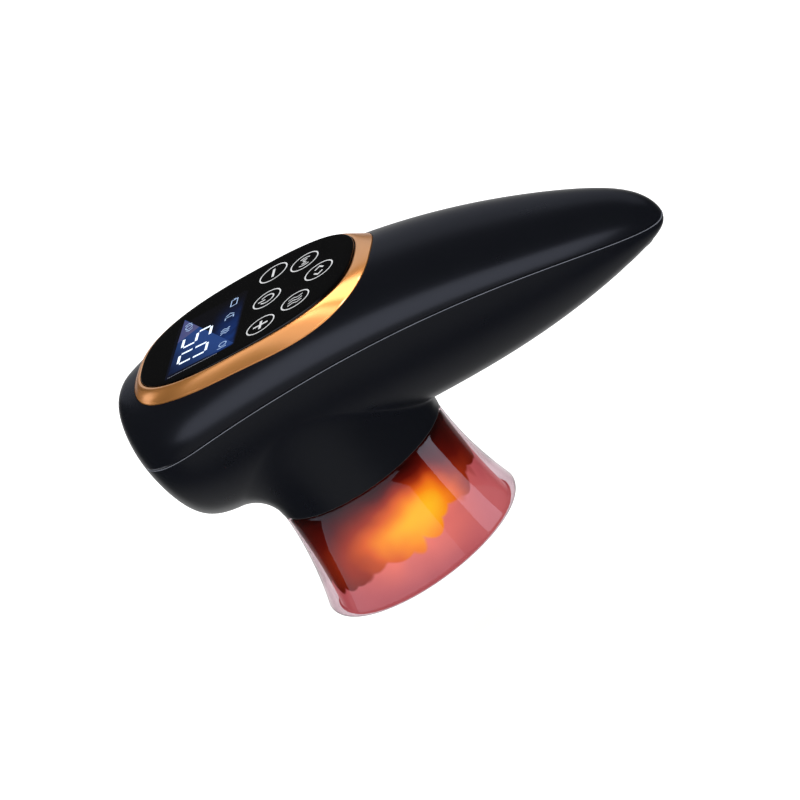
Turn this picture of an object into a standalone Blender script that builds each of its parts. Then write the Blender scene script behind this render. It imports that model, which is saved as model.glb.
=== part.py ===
"""Electric cupping massager: a wireless hand unit that draws air from a glass cup and warms the skin with red light.

Metres, +Z up. The unit stands on its cup's rim at z = 0, nose at -X, handle tip at +X. Every x below is measured from
the cup's axis, and built() moves the finished points so that the object's length is centred on the origin.
"""

import math

import bpy
import numpy as np

# Body outline seen from above
LENGTH = 0.176
NOSE_REACH = 0.0525
BODY_HALF_WIDTH = 0.0406
WIDEST_AT = -0.0255
HEAD_POWER = 2.3
TAPER_POWER = 1.15
TAPER_ROUND = 0.43

# Parting line between the shells
SEAM_HEIGHT = 0.0793
SEAM_DROP_TIP = 0.0231
SEAM_DROP_NOSE = 0.004
SEAM_TIP_POWER = 2.2
SEAM_NOSE_POWER = 2.0

# Crown of the top shell above the parting line
CROWN_HEIGHT = 0.0174
CROWN_NOSE_ROUND = 0.0063
CROWN_NOSE_POWER = 3.6
CROWN_TIP_SHARE = -1.11
CROWN_TIP_POWER = 11.7
CROWN_SIDE_POWER = 2.24

# Keel of the bottom shell below the parting line
KEEL_DEPTH = 0.0362
KEEL_DEEPEST_AT = 0.019
KEEL_NOSE_POWER = 6.4
KEEL_TIP_SHARE = 0.468
KEEL_TIP_POWER = 3.1
KEEL_SIDE_POWER = 1.7

# Shells
WALL = 0.0022
GAP = 0.0003
NECK_RADIUS = 0.0291
NECK_DROP = 0.0433
NECK_BLEND_FRONT = 0.009
NECK_BLEND_REAR = 0.003
NECK_BLEND_MOST_SHARE = 0.75
COLUMNS = 44
END_CROWDING_SHARE = 0.5
SURFACE_ROWS = 6
INNER_ROWS = 3
BLEND_ROWS = 4

# Control panel and its ring
PANEL_RISE = 0.016
PANEL_NOSE_REACH = 0.0394
PANEL_HANDLE_REACH = 0.0367
PANEL_HALF_WIDTH = 0.0282
PANEL_NOSE_POWER = 2.6
PANEL_HANDLE_POWER = 2.65
PANEL_THICKNESS = 0.0016
PANEL_EDGE = 0.0004
RING_WIDTH_NOSE = 0.0032
RING_WIDTH_HANDLE = 0.0055
RING_NOSE_POWER = 3.05
RING_HANDLE_POWER = 2.75
RING_BELOW_PANEL = 0.0004
RING_WIDTH_SIDES = 0.003
RING_SEAT_DEPTH = 0.0013
RING_PROUD = 0.0003
RING_LIP = 0.0008
FLOOR_THICKNESS = 0.0024
FLOOR_OUTLINE_SHARE = 0.9

# Display, keys and their board
LCD_FROM = -0.028
LCD_TO = -0.0025
LCD_HALF_WIDTH = 0.0182
LCD_CORNER = 0.001
LCD_CLEARANCE = 0.0006
KEY_AT = 0.0065
KEY_ROW = 0.0177
KEY_SIDE_STEP = 0.012
KEY_SIDE = 0.0131
KEY_END_STEP = 0.0189
KEY_PAD_RADIUS = 0.0035
KEY_SHEET_THICKNESS = 0.0008
KEY_SHEET_FROM = 0.0008
KEY_SHEET_TO = 0.03
KEY_SHEET_HALF_WIDTH = 0.0214
KEY_SHEET_CORNER = 0.0105
KEY_CLEARANCE = 0.0005
BOARD_THICKNESS = 0.0014
BOARD_HALF_LENGTH = 0.0305
BOARD_HALF_WIDTH = 0.0227
BOARD_CORNER = 0.016
BOARD_SCREW_NOSE = (-0.014, 0.0207)
BOARD_SCREW_TAIL = (0.0246, 0.0155)

# Fasteners
SMALL_SCREW_RADIUS = 0.0008
SMALL_HEAD_RADIUS = 0.0017
SMALL_HEAD_HEIGHT = 0.0013
SCREW_CLEARANCE = 0.0003
SHELL_SCREW_RADIUS = 0.0012
SHELL_HEAD_RADIUS = 0.0024
SHELL_HEAD_HEIGHT = 0.002
SHELL_BOSS_RADIUS = 0.0032
SHELL_SCREW_FRONT = 0.0343
SHELL_SCREW_FROM_TIP = 0.0103
SHELL_SPLIT_DROP_FRONT = 0.0193
SHELL_SPLIT_DROP_REAR = 0.0205
SHELL_SCREW_GRIP = 0.0055
SHELL_BOSS_FLOOR = 0.003
SHELL_WELL_WALL = 0.0012
PLUG_THICKNESS = 0.0018
SCREW_SIDES = 10

# Glass cup
CUP_RIM_RADIUS = 0.0341
CUP_LIP_ROUND = 0.0026
CUP_LIP_FLAT = 0.0014
CUP_LIP_INNER_ROUND = 0.0012
CUP_WALL = 0.0024
CUP_FLARE_POWER = 1.9
CUP_SHOULDER_INSET = 0.0002
SPIGOT_RADIUS = 0.0242
SPIGOT_HEIGHT = 0.0077
CUP_SIDES = 40
CUP_WALL_ROWS = 6
CUP_LIP_ROWS = 4

# Socket in the neck
SOCKET_WALL = 0.0012
COLLAR_RADIUS = 0.026
COLLAR_WALL = 0.002
COLLAR_INSET = 0.002
LEDGE_THICKNESS = 0.0025
LEDGE_WIDTH = 0.0044
GASKET_THICKNESS = 0.0024
PLATE_THICKNESS = 0.0025
SKIRT_INSET = 0.0008
NECK_SCREW_CIRCLE = 0.0193
NECK_BOSS_RADIUS = 0.0034
NECK_SCREW_GRIP = 0.0033
ROUND_SIDES = 24

# Red light and its window
LIGHT_BOARD_RADIUS = 0.0156
LAMP_CIRCLE = 0.0098
LAMP_RADIUS = 0.0022
LAMP_HEIGHT = 0.0012
LAMP_COUNT = 6
WINDOW_RADIUS = 0.0173
WINDOW_WALL = 0.0013
WINDOW_DEPTH = 0.006

# Suction port
PORT_RADIUS = 0.0029
PORT_BORE = 0.0015
PORT_FLANGE_RADIUS = 0.0046
PORT_FLANGE = 0.0012
PORT_BELOW_WINDOW = 0.0004
FILTER_RADIUS = 0.004
FILTER_THICKNESS = 0.0012
BARB_RADIUS = 0.0014
BARB_BORE = 0.0008
BARB_LENGTH = 0.0042

# Air tubes
TUBE_INNER = 0.0017
TUBE_OUTER = 0.0023
TUBE_SIDES = 8
TUBE_STEP = 0.005
TEE_FROM_NOSE = 0.013
TEE_DROP = 0.0131
TEE_RADIUS = 0.0026
TEE_HALF_HEIGHT = 0.0032

# Pump
BRACKET_THICKNESS = 0.002
BRACKET_FROM = -0.0255
BRACKET_TO = 0.029
BRACKET_HALF_WIDTH = 0.0197
BRACKET_CORNER = 0.004
CRADLE_HALF_WIDTH = 0.0149
CRADLE_RIB = 0.003
CRADLE_RIB_FRONT = 0.0025
CRADLE_RIB_REAR = 0.0215
CRADLE_RIB_RISE = 0.0125
MOTOR_RADIUS = 0.012
MOTOR_LENGTH = 0.027
MOTOR_SHEET = 0.001
MOTOR_CAP = 0.0022
MOTOR_BEARING_RADIUS = 0.004
MOTOR_BEARING = 0.0012
SLEEVE_THICKNESS = 0.0013
MAGNET_THICKNESS = 0.0017
MAGNET_FROM = 0.005
MAGNET_TO = 0.022
ARMATURE_RADIUS = 0.0085
ARMATURE_FROM = 0.0065
ARMATURE_TO = 0.0205
COMMUTATOR_RADIUS = 0.003
COMMUTATOR_TO = 0.025
SHAFT_RADIUS = 0.001
CRANK_RADIUS = 0.0045
CRANK_FROM = -0.0055
CRANK_TO = -0.0025
CRANK_PIN_OFFSET = 0.0015
CRANK_PIN_RADIUS = 0.0008
CRANK_PIN_TO = -0.0095
PUMP_HALF_SIDE = 0.0122
PUMP_CORNER = 0.003
PUMP_BORE = 0.0095
PUMP_HOUSING_LENGTH = 0.012
SWING_RADIUS = 0.0072
SWING_BORE = 0.0028
SWING_FROM = -0.0084
SWING_THICKNESS = 0.002
DIAPHRAGM_THICKNESS = 0.0011
BELLOWS_RADIUS = 0.0024
BELLOWS_CIRCLE = 0.005
BELLOWS_COUNT = 3
VALVE_PLATE_THICKNESS = 0.0022
PUMP_COVER_THICKNESS = 0.006
PUMP_PORT_RISE = 0.0072

# Release valve
VALVE_SIDE = 0.0231
VALVE_HEIGHT_OVER_AXIS = 0.003
VALVE_FROM = 0.004
VALVE_LENGTH = 0.02
VALVE_HALF = 0.0056
VALVE_SHEET = 0.0012
COIL_RADIUS = 0.004
COIL_BORE = 0.0023
PLUNGER_RADIUS = 0.0019
PLUNGER_LENGTH = 0.0195
PLUNGER_HEAD_RADIUS = 0.0036
PLUNGER_HEAD = 0.0008
PLUNGER_TRAVEL = 0.002
PLUNGER_REST_OUT = 0.0046
SPRING_RADIUS = 0.0028
SPRING_WIRE = 0.0003
SPRING_TURNS = 4
SPRING_TURN_POINTS = 10
VALVE_CAP_RADIUS = 0.005
VALVE_CAP = 0.003
VALVE_ARM_THICKNESS = 0.0018
VALVE_ARM_CLEARANCE = 0.0004

# Battery and main board
CELL_RADIUS = 0.0091
CELL_FROM = 0.0388
CELL_LENGTH = 0.0646
CELL_BUTTON_RADIUS = 0.003
CELL_BUTTON = 0.0006
CELL_ROUND = 0.0008
CRADLE_BASE_DROP = 0.0293
CRADLE_BASE_THICKNESS = 0.0015
CRADLE_BASE_HALF_WIDTH = 0.005
CRADLE_END_FRONT = 0.046
CRADLE_END_REAR = 0.086
CRADLE_END_THICKNESS = 0.003
CRADLE_END_HALF_WIDTH = 0.0125
CRADLE_END_SHOULDER = 0.0085
CRADLE_END_RISE = 0.0217
PEG_RADIUS = 0.0013
PEG_LENGTH = 0.0028
PEG_BOSS_RADIUS = 0.0032
PEG_AT = (0.0555, 0.0795)
CELL_PAD_FROM = 0.058
CELL_PAD_LENGTH = 0.018
CELL_PAD_HALF_WIDTH = 0.006
MAIN_BOARD_TO = 0.0905
MAIN_BOARD_LENGTH = 0.046
MAIN_BOARD_HALF_WIDTH = 0.0123
MAIN_BOARD_CORNER = 0.001
CHIP_HALF = 0.0035
CHIP_AT = 0.058
CHIP_HEIGHT = 0.0011
PLUG_SOCKET_HALF = 0.0028
PLUG_SOCKET_AT = 0.074
PLUG_SOCKET_HEIGHT = 0.0026

# Charging port
PORT_BOX_FROM_TIP = 0.0192
PORT_BOX_LENGTH = 0.0032
PORT_BOX_HALF_WIDTH = 0.00445
PORT_BOX_DROP = 0.03
PORT_BOX_HEIGHT = 0.0073
PORT_MOUTH_WALL = 0.0005
PORT_MOUTH_DEPTH = 0.0055
PORT_TONGUE_HALF = 0.0004
CHARGE_BOARD_HALF_WIDTH = 0.0048
CHARGE_BOARD_DROP = 0.0258
CHARGE_BOARD_HEIGHT = 0.0125

# Wiring
WIRE_RADIUS = 0.0007
WIRE_SIDES_RESOLUTION = 1
WIRE_STEP = 0.003
RIBBON_HALF_WIDTH = 0.0035
RIBBON_THICKNESS = 0.0004
RIBBON_SIDE = -0.0085

# One overrun for every cut, and the fraction of a turn that closes a loop
OVERRUN = 0.002

# Levels that follow from the sizes above
AXIS_X = NOSE_REACH - LENGTH / 2
TIP_REACH = LENGTH - NOSE_REACH
PANEL_TOP = SEAM_HEIGHT + PANEL_RISE
NECK_EDGE = SEAM_HEIGHT - NECK_DROP
SHELL_SCREW_REAR = TIP_REACH - SHELL_SCREW_FROM_TIP
SHELL_BOSS_SPLIT_FRONT = SEAM_HEIGHT - SHELL_SPLIT_DROP_FRONT
SHELL_BOSS_SPLIT_REAR = SEAM_HEIGHT - SHELL_SPLIT_DROP_REAR
TEE_AT = (TEE_FROM_NOSE - NOSE_REACH, 0.0, SEAM_HEIGHT - TEE_DROP)
CRADLE_BASE_HEIGHT = SEAM_HEIGHT - CRADLE_BASE_DROP
CRADLE_END_HEIGHT = CRADLE_BASE_HEIGHT + CRADLE_END_RISE
MAIN_BOARD_FROM = MAIN_BOARD_TO - MAIN_BOARD_LENGTH
PORT_BOX_FROM = TIP_REACH - PORT_BOX_FROM_TIP
PORT_BOX_BOTTOM = SEAM_HEIGHT - PORT_BOX_DROP
CHARGE_BOARD_BOTTOM = SEAM_HEIGHT - CHARGE_BOARD_DROP
FLOOR_TOP = PANEL_TOP - PANEL_THICKNESS - GAP
FLOOR_BOTTOM = FLOOR_TOP - FLOOR_THICKNESS
KEY_SHEET_TOP = FLOOR_BOTTOM - GAP
KEY_SHEET_BOTTOM = KEY_SHEET_TOP - KEY_SHEET_THICKNESS
KEY_BOARD_TOP = KEY_SHEET_BOTTOM - GAP
KEY_BOARD_BOTTOM = KEY_BOARD_TOP - BOARD_THICKNESS
SPIGOT_TOP = NECK_EDGE + SPIGOT_HEIGHT
GASKET_BOTTOM = SPIGOT_TOP + GAP
PLATE_BOTTOM = GASKET_BOTTOM + GASKET_THICKNESS + GAP
PLATE_TOP = PLATE_BOTTOM + PLATE_THICKNESS
LEDGE_BOTTOM = PLATE_TOP + GAP
LEDGE_TOP = LEDGE_BOTTOM + LEDGE_THICKNESS
BARB_HEIGHT = LEDGE_TOP + GAP + TUBE_OUTER
NECK_BOSS_TOP = BARB_HEIGHT + TUBE_OUTER + GAP
BRACKET_BOTTOM = NECK_BOSS_TOP + GAP
BRACKET_TOP = BRACKET_BOTTOM + BRACKET_THICKNESS
SLEEVE_RADIUS = MOTOR_RADIUS + GAP + SLEEVE_THICKNESS
MOTOR_HEIGHT = BRACKET_TOP + 2 * GAP + SLEEVE_RADIUS
PUMP_PORT_HEIGHT = MOTOR_HEIGHT + PUMP_PORT_RISE
VALVE_HEIGHT = MOTOR_HEIGHT + VALVE_HEIGHT_OVER_AXIS
CELL_HEIGHT = CRADLE_BASE_HEIGHT + CRADLE_BASE_THICKNESS + GAP + CELL_RADIUS
MAIN_BOARD_BOTTOM = CRADLE_END_HEIGHT + GAP
MAIN_BOARD_TOP = MAIN_BOARD_BOTTOM + BOARD_THICKNESS


def clear_scene():
    for thing in list(bpy.data.objects):
        bpy.data.objects.remove(thing, do_unlink=True)


def finish(name, colour, roughness, metallic=0.0, transmission=0.0, glow=None):
    """A Principled material of plain values."""
    made = bpy.data.materials.new(name)
    made.use_nodes = True
    shader = made.node_tree.nodes["Principled BSDF"]
    shader.inputs["Base Color"].default_value = (*colour, 1)
    shader.inputs["Roughness"].default_value = roughness
    shader.inputs["Metallic"].default_value = metallic
    shader.inputs["Transmission Weight"].default_value = transmission
    if glow:
        shader.inputs["Emission Color"].default_value = (*glow, 1)
        shader.inputs["Emission Strength"].default_value = 1
    return made


def make_finishes():
    return {
        "shell": finish("satin_black_shell", (0.012, 0.015, 0.022), 0.42),
        "gold": finish("copper_gold_ring", (0.80, 0.46, 0.20), 0.28, 1.0),
        "panel": finish("black_panel", (0.004, 0.004, 0.005), 0.08),
        "glass": finish("amber_cup_glass", (0.95, 0.55, 0.45), 0.05, 0.0, 0.9),
        "window": finish("red_window", (0.9, 0.2, 0.08), 0.25, 0.0, 0.6),
        "lcd": finish("blue_display", (0.02, 0.05, 0.25), 0.2, 0.0, 0.0, (0.05, 0.2, 0.9)),
        "board": finish("green_board", (0.02, 0.16, 0.06), 0.5),
        "steel": finish("plated_steel", (0.62, 0.62, 0.62), 0.3, 1.0),
        "copper": finish("copper_winding", (0.72, 0.3, 0.13), 0.4, 1.0),
        "rubber": finish("grey_rubber", (0.06, 0.06, 0.065), 0.8),
        "silicone": finish("milky_silicone", (0.72, 0.72, 0.68), 0.5, 0.0, 0.2),
        "plastic": finish("dark_plastic", (0.035, 0.035, 0.04), 0.55),
        "pale": finish("white_plastic", (0.75, 0.74, 0.7), 0.45),
        "cell": finish("blue_cell_wrap", (0.02, 0.12, 0.35), 0.4),
        "foam": finish("black_foam", (0.02, 0.02, 0.02), 0.95),
        "red": finish("red_wire", (0.6, 0.02, 0.02), 0.5),
        "black": finish("black_wire", (0.02, 0.02, 0.02), 0.5),
        "magnet": finish("ferrite", (0.08, 0.08, 0.085), 0.6),
    }


def built(name, points, faces, look, origin=(0, 0, 0), parent=None):
    """An object whose faces point outwards. Points and origin are measured from the cup's axis."""
    points = np.asarray(points, float)
    corners = [(face[0], face[i], face[i + 1]) for face in faces for i in range(1, len(face) - 1)]
    tri = points[np.array(corners)]
    if np.einsum("ij,ij->i", tri[:, 0], np.cross(tri[:, 1], tri[:, 2])).sum() < 0:
        faces = [face[::-1] for face in faces]
    mesh = bpy.data.meshes.new(name)
    mesh.from_pydata((points - origin).tolist(), [], [list(map(int, face)) for face in faces])
    mesh.materials.append(look)
    mesh.shade_smooth()
    mesh.set_sharp_from_angle(angle=math.radians(32))
    made = bpy.data.objects.new(name, mesh)
    bpy.context.scene.collection.objects.link(made)
    made.location = (origin[0] + AXIS_X, origin[1], origin[2])
    if parent:
        made.parent = parent
        made.location = made.location - parent.location
    return made


def empty(name, x, y, z):
    made = bpy.data.objects.new(name, None)
    made.empty_display_size = GAP * 10
    made.location = (x + AXIS_X, y, z)
    bpy.context.scene.collection.objects.link(made)
    return made


def lofted(name, rows, look, capped=True, **where):
    """Skin over loops of equal count. Capped closes both ends with flat faces; otherwise the last row meets the first."""
    rows = np.asarray(rows, float)
    count, around = rows.shape[:2]
    faces = []
    for i in range(count - 1 if capped else count):
        a, b = i * around, (i + 1) % count * around
        for j in range(around):
            k = (j + 1) % around
            faces.append((a + j, a + k, b + k, b + j))
    if capped:
        faces.append(tuple(range(around))[::-1])
        faces.append(tuple(range((count - 1) * around, count * around)))
    return built(name, rows.reshape(-1, 3), faces, look, **where)


def laid(first, second, height, axis):
    """Two plan coordinates and a height turned onto an axis: Z keeps (x, y, z), X takes (z, x, y), Y takes (x, z, y)."""
    order = {"Z": (first, second, height), "X": (height, first, second), "Y": (first, height, second)}[axis]
    return np.stack(np.broadcast_arrays(*order), -1)


def turned(name, profile, look, centre=(0, 0, 0), axis="Z", capped=True, sides=ROUND_SIDES, **where):
    """Profile of (radius, height) pairs turned about an axis through centre."""
    angle = (np.arange(sides) + 0.5) * 2 * math.pi / sides
    rows = [laid(r * np.cos(angle), r * np.sin(angle), h, axis) for r, h in profile]
    where.setdefault("origin", centre)
    return lofted(name, np.array(rows) + np.array(centre), look, capped, **where)


def rounded(half_a, half_b, corner, steps=3):
    """Rectangle outline with round corners, counter-clockwise."""
    angle = np.linspace(0, math.pi / 2, steps + 1)
    loop = []
    for quarter, (sx, sy) in enumerate(((1, 1), (-1, 1), (-1, -1), (1, -1))):
        turn = angle + quarter * math.pi / 2
        loop.append(
            np.stack(
                (sx * (half_a - corner) + corner * np.cos(turn), sy * (half_b - corner) + corner * np.sin(turn)), -1
            )
        )
    return np.concatenate(loop)


def slab(name, outline, low, high, look, centre=(0, 0), axis="Z", **where):
    """Flat outline given a thickness from low to high along an axis."""
    outline = np.asarray(outline) + np.array(centre)
    rows = [laid(outline[:, 0], outline[:, 1], level, axis) for level in (low, high)]
    if "origin" not in where:
        where["origin"] = tuple(laid(centre[0], centre[1], (low + high) / 2, axis))
    return lofted(name, rows, look, **where)


def block(name, low, high, look, **where):
    """Rectangular block between two corners."""
    low, high = np.array(low), np.array(high)
    middle, half = (low + high) / 2, (high - low) / 2
    outline = np.array([(half[0], half[1]), (-half[0], half[1]), (-half[0], -half[1]), (half[0], -half[1])])
    return slab(name, outline, low[2], high[2], look, centre=tuple(middle[:2]), **where)


def helper(made):
    made.hide_render = True
    made.display_type = "WIRE"
    return made


def combine(target, operation, others):
    for other in others:
        helper(other)
        change = target.modifiers.new(other.name, "BOOLEAN")
        change.operation = operation
        change.object = other
    return target


def join(target, *others):
    return combine(target, "UNION", others)


def cut(target, *others):
    return combine(target, "DIFFERENCE", others)


def rod(name, radius, low, high, look, at=(0, 0), axis="Z", sides=11):
    """Plain round bar along an axis, used for bosses, pegs and bores."""
    centre = tuple(laid(at[0], at[1], 0.0, axis))
    return turned(name, ((radius, low), (radius, high)), look, centre=centre, axis=axis, sides=sides)


def smooth_route(points, step):
    """Even points on a Catmull-Rom curve through a route's own points."""
    points = np.asarray(points, float)
    ends = np.vstack((2 * points[0] - points[1], points, 2 * points[-1] - points[-2]))
    t = np.linspace(0, 1, 25)[:-1, None]
    dense = []
    for a, b, c, d in zip(ends, ends[1:], ends[2:], ends[3:]):
        dense.append(0.5 * (2 * b + (c - a) * t + (2 * a - 5 * b + 4 * c - d) * t**2 + (3 * b - a - 3 * c + d) * t**3))
    dense = np.vstack(dense + [points[-1:]])
    run = np.concatenate(([0], np.cumsum(np.linalg.norm(np.diff(dense, axis=0), axis=1))))
    even = np.linspace(0, run[-1], max(2, round(run[-1] / step)) + 1)
    return np.stack([np.interp(even, run, dense[:, k]) for k in range(3)], -1)


def hose(name, points, look, parent):
    """Hollow tube along a route: the outer wall out, the inner wall back."""
    path = smooth_route(points, TUBE_STEP)
    along = np.gradient(path, axis=0)
    along /= np.linalg.norm(along, axis=1)[:, None]
    side = np.cross(along[0], (0, 0, 1) if abs(along[0][2]) < 0.7 else (0, 1, 0))
    angle = np.arange(TUBE_SIDES) * 2 * math.pi / TUBE_SIDES
    loops = []
    for centre, ahead in zip(path, along):
        side = side - ahead * side.dot(ahead)
        side /= np.linalg.norm(side)
        up = np.cross(ahead, side)
        loops.append((centre, np.cos(angle)[:, None] * side + np.sin(angle)[:, None] * up))
    rows = [centre + TUBE_OUTER * loop for centre, loop in loops]
    rows += [centre + TUBE_INNER * loop for centre, loop in reversed(loops)]
    return lofted(name, rows, look, capped=False, origin=tuple(path[0]), parent=parent)


def wire(name, points, look, parent):
    """Insulated wire: a bevelled curve with closed ends."""
    path = smooth_route(points, WIRE_STEP)
    curve = bpy.data.curves.new(name, "CURVE")
    curve.dimensions = "3D"
    curve.bevel_depth = WIRE_RADIUS
    curve.bevel_resolution = WIRE_SIDES_RESOLUTION
    curve.use_fill_caps = True
    spline = curve.splines.new("POLY")
    spline.points.add(len(path) - 1)
    spline.points.foreach_set("co", np.c_[path - path[0], np.ones(len(path))].ravel())
    curve.materials.append(look)
    made = bpy.data.objects.new(name, curve)
    bpy.context.scene.collection.objects.link(made)
    made.parent = parent
    made.location = (path[0][0] + AXIS_X, path[0][1], path[0][2])
    made.location = made.location - parent.location
    return made


# Shape of the body


def half_width(x):
    """Half width of the outline: a superellipse ahead of the widest place, a longer drawn-out one behind it."""
    head = np.clip((WIDEST_AT - x) / (WIDEST_AT + NOSE_REACH), 0, 1)
    tail = np.clip((x - WIDEST_AT) / (TIP_REACH - WIDEST_AT), 0, 1)
    front = (1 - head**HEAD_POWER) ** (1 / HEAD_POWER)
    rear = (1 - tail**TAPER_POWER) ** TAPER_ROUND
    return BODY_HALF_WIDTH * np.where(x < WIDEST_AT, front, rear)


def seam_height(x):
    """Height of the parting line, falling by a power curve to the tip and to the nose."""
    tip = np.clip(x / TIP_REACH, 0, 1)
    nose = np.clip(-x / NOSE_REACH, 0, 1)
    return SEAM_HEIGHT - SEAM_DROP_TIP * tip**SEAM_TIP_POWER - SEAM_DROP_NOSE * nose**SEAM_NOSE_POWER


def long_profile(x, highest_at, size, nose_power, tip_share, tip_power):
    """Height along the middle: a superellipse towards the nose, an ellipse drawn in by a share towards the tip."""
    nose = np.clip((highest_at - x) / (highest_at + NOSE_REACH), 0, 1)
    tip = np.clip((x - highest_at) / (TIP_REACH - highest_at), 0, 1)
    front = (1 - nose**nose_power) ** (1 / nose_power)
    rear = np.sqrt(1 - tip**2) * (1 - tip_share * tip**tip_power)
    return size * np.where(x < highest_at, front, rear)


def across(x, y, power):
    """Share of the middle height that is left at y: a superellipse over the half width."""
    share = np.clip(np.abs(y) / np.maximum(half_width(x), GAP / 100), 0, 1)
    return (1 - share**power) ** (1 / power)


def crown_surface(x, y):
    highest_at = CROWN_NOSE_ROUND - NOSE_REACH
    rise = long_profile(x, highest_at, CROWN_HEIGHT, CROWN_NOSE_POWER, CROWN_TIP_SHARE, CROWN_TIP_POWER)
    return seam_height(x) + rise * across(x, y, CROWN_SIDE_POWER)


def keel_surface(x, y):
    drop = long_profile(x, KEEL_DEEPEST_AT, KEEL_DEPTH, KEEL_NOSE_POWER, KEEL_TIP_SHARE, KEEL_TIP_POWER)
    return seam_height(x) - drop * across(x, y, KEEL_SIDE_POWER)


def outline_columns(count):
    """Plan points of the parting line from the tip round by +Y, closer at both ends: their distance and direction."""
    turn = np.linspace(0, math.pi, 2001)
    x = (TIP_REACH - NOSE_REACH) / 2 + LENGTH / 2 * np.cos(turn)
    y = half_width(x)
    run = np.concatenate(([0], np.cumsum(np.hypot(np.diff(x), np.diff(y)))))
    t = np.linspace(0, 1, count // 2 + 1)
    places = run[-1] * (t - END_CROWDING_SHARE * np.sin(2 * math.pi * t) / (2 * math.pi))
    x, y = np.interp(places, run, x), np.interp(places, run, y)
    y[0] = y[-1] = 0
    x, y = np.concatenate((x, x[-2:0:-1])), np.concatenate((y, -y[-2:0:-1]))
    return np.hypot(x, y), np.arctan2(y, x)


def oval(nose, handle, half_y, angle):
    """Distance from the axis along each direction to two half superellipses, each given as its reach and power."""
    half_x, power = np.where(np.cos(angle) < 0, *np.array((nose, handle))[..., None])
    return (np.abs(np.cos(angle) / half_x) ** power + np.abs(np.sin(angle) / half_y) ** power) ** (-1 / power)


def ray_row(reach, angle, height):
    """One row of surface points, at a distance along each column's ray."""
    x, y = reach * np.cos(angle), reach * np.sin(angle)
    return np.stack((x, y, height(x, y) if callable(height) else np.broadcast_to(height, x.shape)), -1)


def surface_rows(outer, inner, angle, height):
    """Rows from the outline inwards, crowded near the outline where the surface is steep."""
    shares = np.linspace(0, 1, SURFACE_ROWS + 1) ** 2
    return np.array([ray_row(outer + (inner - outer) * share, angle, height) for share in shares])


def inside_of(rows, side):
    """Every second row one wall inside the surface; side is 1 above the parting line and -1 below it."""
    around = np.roll(rows, -1, axis=1) - np.roll(rows, 1, axis=1)
    inward = np.gradient(rows, axis=0)
    normal = np.cross(around, inward)
    normal /= np.linalg.norm(normal, axis=2)[..., None]
    if (normal[1:SURFACE_ROWS, :, 2].mean() > 0) != (side > 0):
        normal = -normal
    normal[0, :, 2] = 0
    normal[0] /= np.linalg.norm(normal[0], axis=1)[:, None]
    inner = (rows - WALL * normal)[:: SURFACE_ROWS // INNER_ROWS]
    rim = side * (seam_height(inner[..., 0]) + side * GAP / 2)
    inner[..., 2] = side * np.maximum(side * inner[..., 2], rim)
    return set_rim(inner, side)


def set_rim(rows, side):
    """The first row lies half a gap above or below the parting line."""
    rows[0, :, 2] = seam_height(rows[0, :, 0]) + side * GAP / 2
    return rows


def ring_reach(angle, grow=0.0):
    nose = PANEL_NOSE_REACH + RING_WIDTH_NOSE + grow, RING_NOSE_POWER
    handle = PANEL_HANDLE_REACH + RING_WIDTH_HANDLE + grow, RING_HANDLE_POWER
    return oval(nose, handle, PANEL_HALF_WIDTH + RING_WIDTH_SIDES + grow, angle)


def panel_reach(angle, grow=0.0):
    nose, handle = (PANEL_NOSE_REACH + grow, PANEL_NOSE_POWER), (PANEL_HANDLE_REACH + grow, PANEL_HANDLE_POWER)
    return oval(nose, handle, PANEL_HALF_WIDTH + grow, angle)


def ring_seat(reach, angle):
    """Height of the seat under the ring: straight from the crown, less the seat's depth, to the panel's floor."""
    outer, floor = ring_reach(angle), FLOOR_OUTLINE_SHARE * panel_reach(angle)
    x, y = outer * np.cos(angle), outer * np.sin(angle)
    share = (outer - reach) / (outer - floor)
    start = crown_surface(x, y) - RING_SEAT_DEPTH
    return start + share * (FLOOR_TOP - start)


def boss_through(x, look, low, high, name):
    return rod(name, SHELL_BOSS_RADIUS, low, high, look, at=(x, 0))


# Casing


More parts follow.
